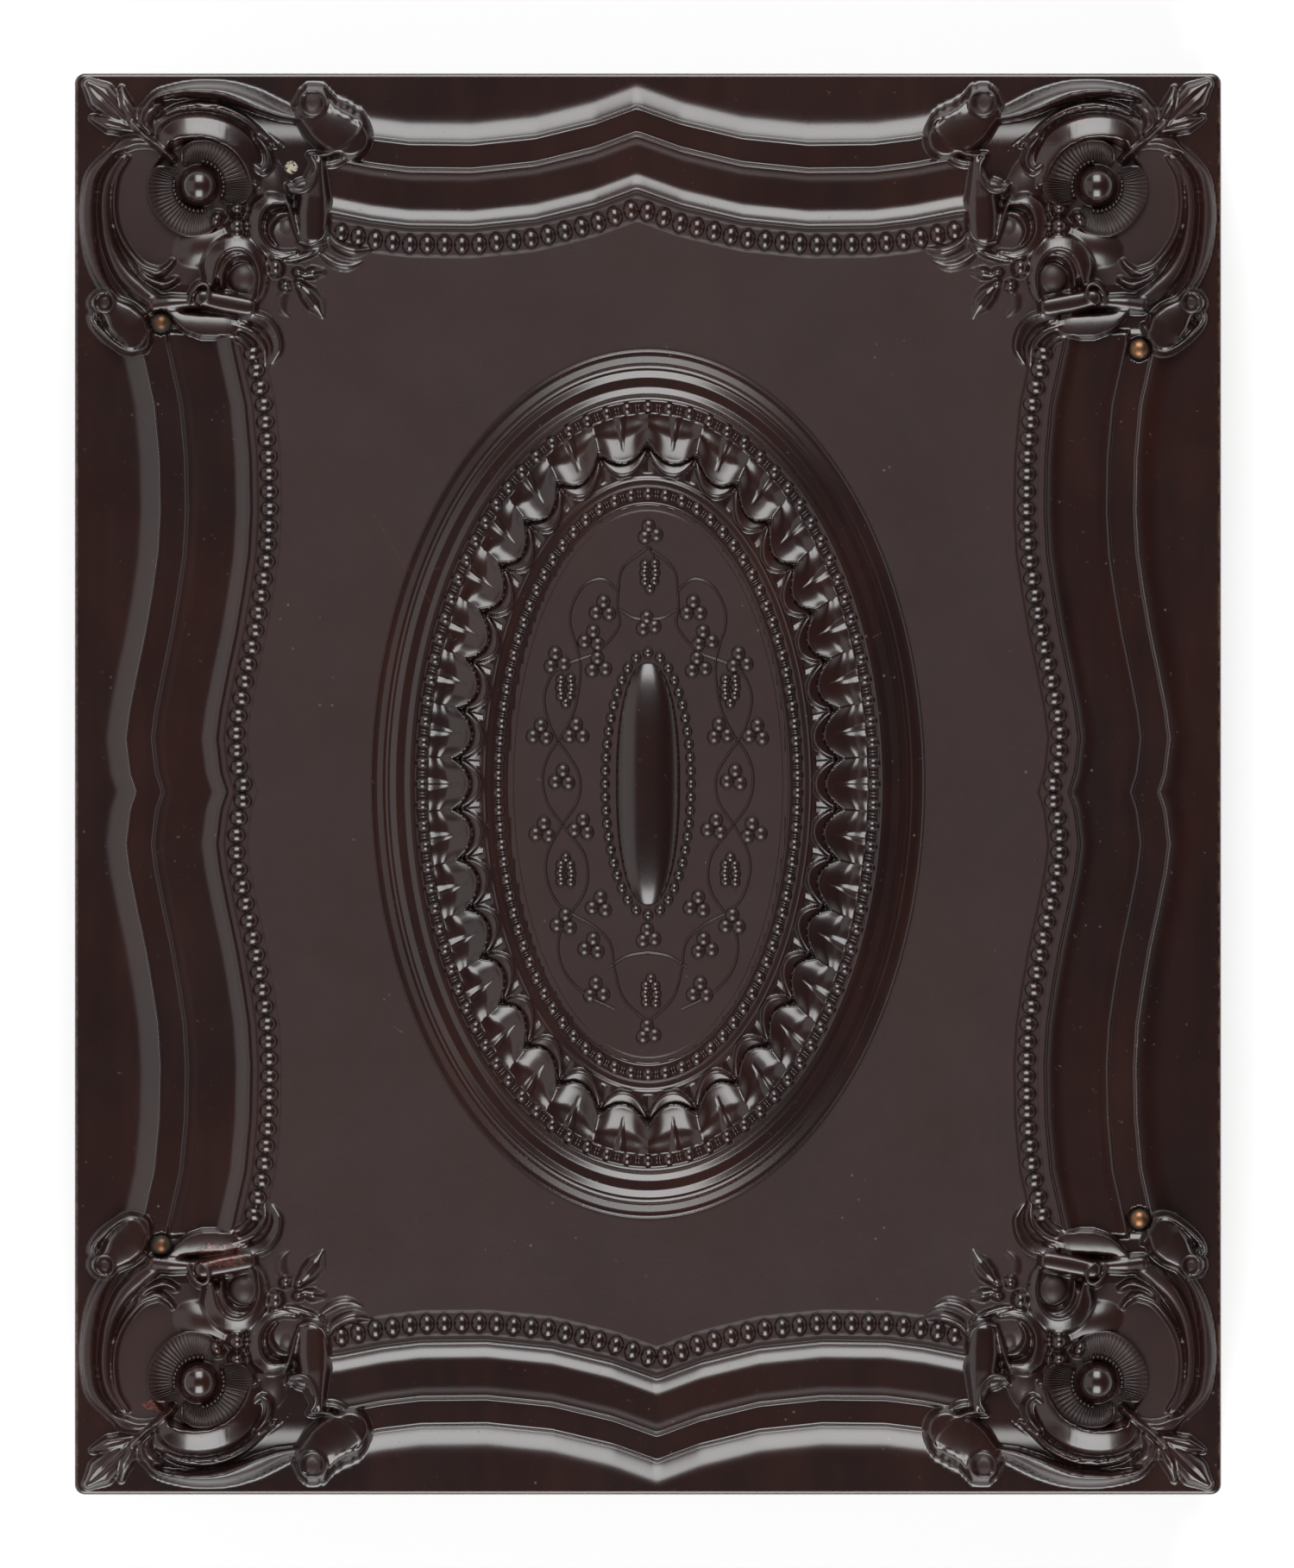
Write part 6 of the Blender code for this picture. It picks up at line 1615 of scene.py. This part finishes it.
class CASE_OT_faces(Operator):
    """Carves the frame and the corners of both faces"""

    bl_idname = "union_case.faces"
    bl_label = "Carve faces"

    def execute(self, context):
        sizes, finish = context.scene.union_case_sizes, finish_of("moulded", context)
        for half in HALVES:
            scale = (1.0 if half == "cover" else sizes.back_coarsening) * QUICK_COARSENING / MM
            pins = [middle for _, _, middle, _ in pins_of(half)]
            face = carved_face(sizes.relief_step * scale, sizes.plain_step * scale, pins, half == "cover")
            make_face(half, face, finish)
            make_fans(half, finish, FAN_COLUMNS[half])
        return {"FINISHED"}


class CASE_OT_bodies(Operator):
    """Makes the walls and the inside of both halves"""

    bl_idname = "union_case.bodies"
    bl_label = "Make bodies"

    def execute(self, context):
        for half in HALVES:
            make_shell(half, finish_of("moulded", context))
        return {"FINISHED"}


class CASE_OT_medallions(Operator):
    """Carves the oval medallions"""

    bl_idname = "union_case.medallions"
    bl_label = "Carve medallions"

    def execute(self, context):
        for half in HALVES:
            make_medallion(half, finish_of("moulded", context), *MEDALLION_GRIDS[half])
        return {"FINISHED"}


class CASE_OT_beading(Operator):
    """Sets the rows of beads and the toothed lines"""

    bl_idname = "union_case.beading"
    bl_label = "Set beading"

    def execute(self, context):
        finish = finish_of("moulded", context)
        for half in HALVES:
            add_relief(half, "frame_beads", [frame_beads()], finish)
            add_relief(half, "milled_line", milled_cord(), finish)
            rings = [form for ring in MEDALLION_BEADS for form in bead_and_reel(*ring)]
            add_relief(half, "medallion_beads", rings, finish)
        return {"FINISHED"}


class CASE_OT_centres(Operator):
    """Carves the vines and the boss inside the medallions"""

    bl_idname = "union_case.centres"
    bl_label = "Carve centres"

    def execute(self, context):
        finish = finish_of("moulded", context)
        for half in HALVES:
            make_sprays(half, finish)
            make_boss(half, finish)
            beads = [ring_forms(BOSS_BEADS_OVAL, BOSS_BEADS, (0.62, 0.56), -0.02, 0.6)]
            add_relief(half, "boss_beads", beads, finish, 0.05)
        return {"FINISHED"}


class CASE_OT_metalwork(Operator):
    """Makes the pins, the hinges and the clasps"""

    bl_idname = "union_case.metalwork"
    bl_label = "Fit metalwork"

    def execute(self, context):
        make_rivets(finish_of("copper", context))
        make_metalwork(finish_of("brass", context), context.scene.union_case_sizes.metal_edge)
        return {"FINISHED"}


class CASE_OT_packet(Operator):
    """Makes the plate, mat, glass and preserver"""

    bl_idname = "union_case.packet"
    bl_label = "Frame the plate"

    def execute(self, context):
        make_mat(finish_of("stamped", context))
        make_preserver(finish_of("stamped", context))
        dress("image_plate", finish_of("silver", context))
        dress("cover_glass", finish_of("glass", context))
        return {"FINISHED"}


class CASE_OT_lining(Operator):
    """Makes the velvet pad, the velvet strip and the card"""

    bl_idname = "union_case.lining"
    bl_label = "Line with velvet"

    def execute(self, context):
        make_pad(finish_of("velvet", context))
        make_strip(finish_of("velvet", context))
        dress("pad_board", finish_of("card", context))
        return {"FINISHED"}


# The stage: half the floor's size, in millimetres; the lamps' places, powers and sizes; and the camera, whose
# picture is as high as the photo at its pixels per millimetre, from a distance in metres over the face.
FLOOR_HALF = 2500.0
LAMPS = (("head_softbox", 0.0, 44.0, 6.4, 0.6, 0.7), ("foot_softbox", 180.0, 44.0, 6.4, 0.6, 0.7),
         ("side_softbox", 90.0, 42.0, 1.4, 1.1, 0.8))
CAMERA_DISTANCE, SENSOR, PICTURE_HEIGHT = 1.4, 36.0, 1818 / 10.714 * MM
CAMERA_SHIFT = -0.0001


def seen_or_mirrored(tree):
    """1 for rays that show the backdrop, straight, in gloss or through glass, and 0 for the others."""
    rays = tree.nodes.new("ShaderNodeLightPath")
    seen = Wire(tree, rays.outputs["Is Camera Ray"]) + Wire(tree, rays.outputs["Is Glossy Ray"])
    return (seen + Wire(tree, rays.outputs["Is Transmission Ray"])).math("MINIMUM", 1.0)


def add_floor(scene):
    """White paper under the case. Where it is seen it glows, and more so far out, so that it stays white."""
    corners = [(sx * FLOOR_HALF, sy * FLOOR_HALF, 0.0) for sx, sy in ((-1, -1), (1, -1), (1, 1), (-1, 1))]
    mesh = new_mesh("floor", np.array(corners), np.array([[0, 1, 2, 3]]))
    floor = bpy.data.objects.new("floor", mesh)
    scene.collection.objects.link(floor)
    paper = Finish("paper", {"Roughness": 0.9, "Base Color": (0.86, 0.86, 0.86, 1.0),
                             "Emission Strength": 1.0})
    far = paper.reach(paper.place).between(0.3, 0.7)
    shown = seen_or_mirrored(paper.tree) * (0.5 + far * 0.5)
    paper.feed("Emission Color", paper.blend(shown, (0.0, 0.0, 0.0), (1.0, 1.0, 1.0)))
    mesh.materials.append(paper.material)


def add_world(scene):
    """A white room whose walls are seen and mirrored up to a height, and which lights only a little."""
    scene.world = bpy.data.worlds.new("studio")
    scene.world.use_nodes = True
    tree = scene.world.node_tree
    background = tree.nodes["Background"]
    background.inputs["Color"].default_value = (1.0, 1.0, 1.0, 1.0)
    way = tree.nodes.new("ShaderNodeSeparateXYZ")
    connect(tree, tree.nodes.new("ShaderNodeTexCoord").outputs["Generated"], way.inputs["Vector"])
    low_walls = (1.0 - Wire(tree, way.outputs["Z"]).between(0.0, 0.55)).math("POWER", 2.0)
    connect(tree, 0.03 + seen_or_mirrored(tree) * low_walls * 0.97, background.inputs["Strength"])


def add_lamps(scene):
    """Softboxes a metre from the case, each turned to it: azimuth, elevation, power, width and height."""
    for name, azimuth, elevation, power, width, height in LAMPS:
        lamp = bpy.data.lights.new(name, "AREA")
        lamp.shape, lamp.size, lamp.size_y, lamp.energy = "RECTANGLE", width, height, power
        turn, lift = math.radians(azimuth), math.radians(elevation)
        place = Vector((-math.sin(turn) * math.cos(lift), math.cos(turn) * math.cos(lift), math.sin(lift)))
        made = bpy.data.objects.new(name, lamp)
        made.location = place
        made.rotation_euler = (-place).to_track_quat("-Z", "Y").to_euler()
        scene.collection.objects.link(made)


def add_camera(scene):
    """A camera straight over the cover's face, framed as the photo is."""
    camera = bpy.data.cameras.new("camera")
    camera.sensor_width = SENSOR
    camera.lens = SENSOR * CAMERA_DISTANCE / PICTURE_HEIGHT
    camera.clip_start, camera.clip_end = 0.1, 20.0
    made = bpy.data.objects.new("camera", camera)
    made.location = (CAMERA_SHIFT, 0.0, FIELD * MM + CAMERA_DISTANCE)
    scene.collection.objects.link(made)
    scene.camera = made
    scene.view_settings.view_transform = "Standard"


class CASE_OT_stage(Operator):
    """Adds the floor, the world, the lamps and the camera"""

    bl_idname = "union_case.stage"
    bl_label = "Set stage"

    def execute(self, context):
        for add in (add_floor, add_world, add_lamps, add_camera):
            add(context.scene)
        return {"FINISHED"}


OPERATORS = (CASE_OT_bodies, CASE_OT_faces, CASE_OT_medallions, CASE_OT_beading, CASE_OT_centres,
             CASE_OT_metalwork, CASE_OT_packet, CASE_OT_lining, CASE_OT_stage)


class CASE_PT_dresser(Panel):
    """Lists the sizes, the colours and the steps"""

    bl_label = "Union case"
    bl_idname = "CASE_PT_dresser"
    bl_space_type = "VIEW_3D"
    bl_region_type = "UI"
    bl_category = "Union case"

    def draw(self, context):
        for group in (context.scene.union_case_sizes, context.scene.union_case_colours):
            for name in group.__annotations__:
                self.layout.prop(group, name)
        for operator in OPERATORS:
            self.layout.operator(operator.bl_idname)


CLASSES = (CaseColours, CaseSizes, *OPERATORS, CASE_PT_dresser)


def register():
    for item in CLASSES:
        bpy.utils.register_class(item)
    bpy.types.Scene.union_case_sizes = PointerProperty(type=CaseSizes)
    bpy.types.Scene.union_case_colours = PointerProperty(type=CaseColours)


def unregister():
    del bpy.types.Scene.union_case_sizes
    del bpy.types.Scene.union_case_colours
    for item in reversed(CLASSES):
        bpy.utils.unregister_class(item)


def main():
    """Registers the add-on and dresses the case."""
    register()
    bpy.ops.union_case.bodies()
    bpy.ops.union_case.faces()
    bpy.ops.union_case.medallions()
    bpy.ops.union_case.beading()
    bpy.ops.union_case.centres()
    bpy.ops.union_case.metalwork()
    bpy.ops.union_case.packet()
    bpy.ops.union_case.lining()
    bpy.ops.union_case.stage()


if __name__ == "__main__":
    main()
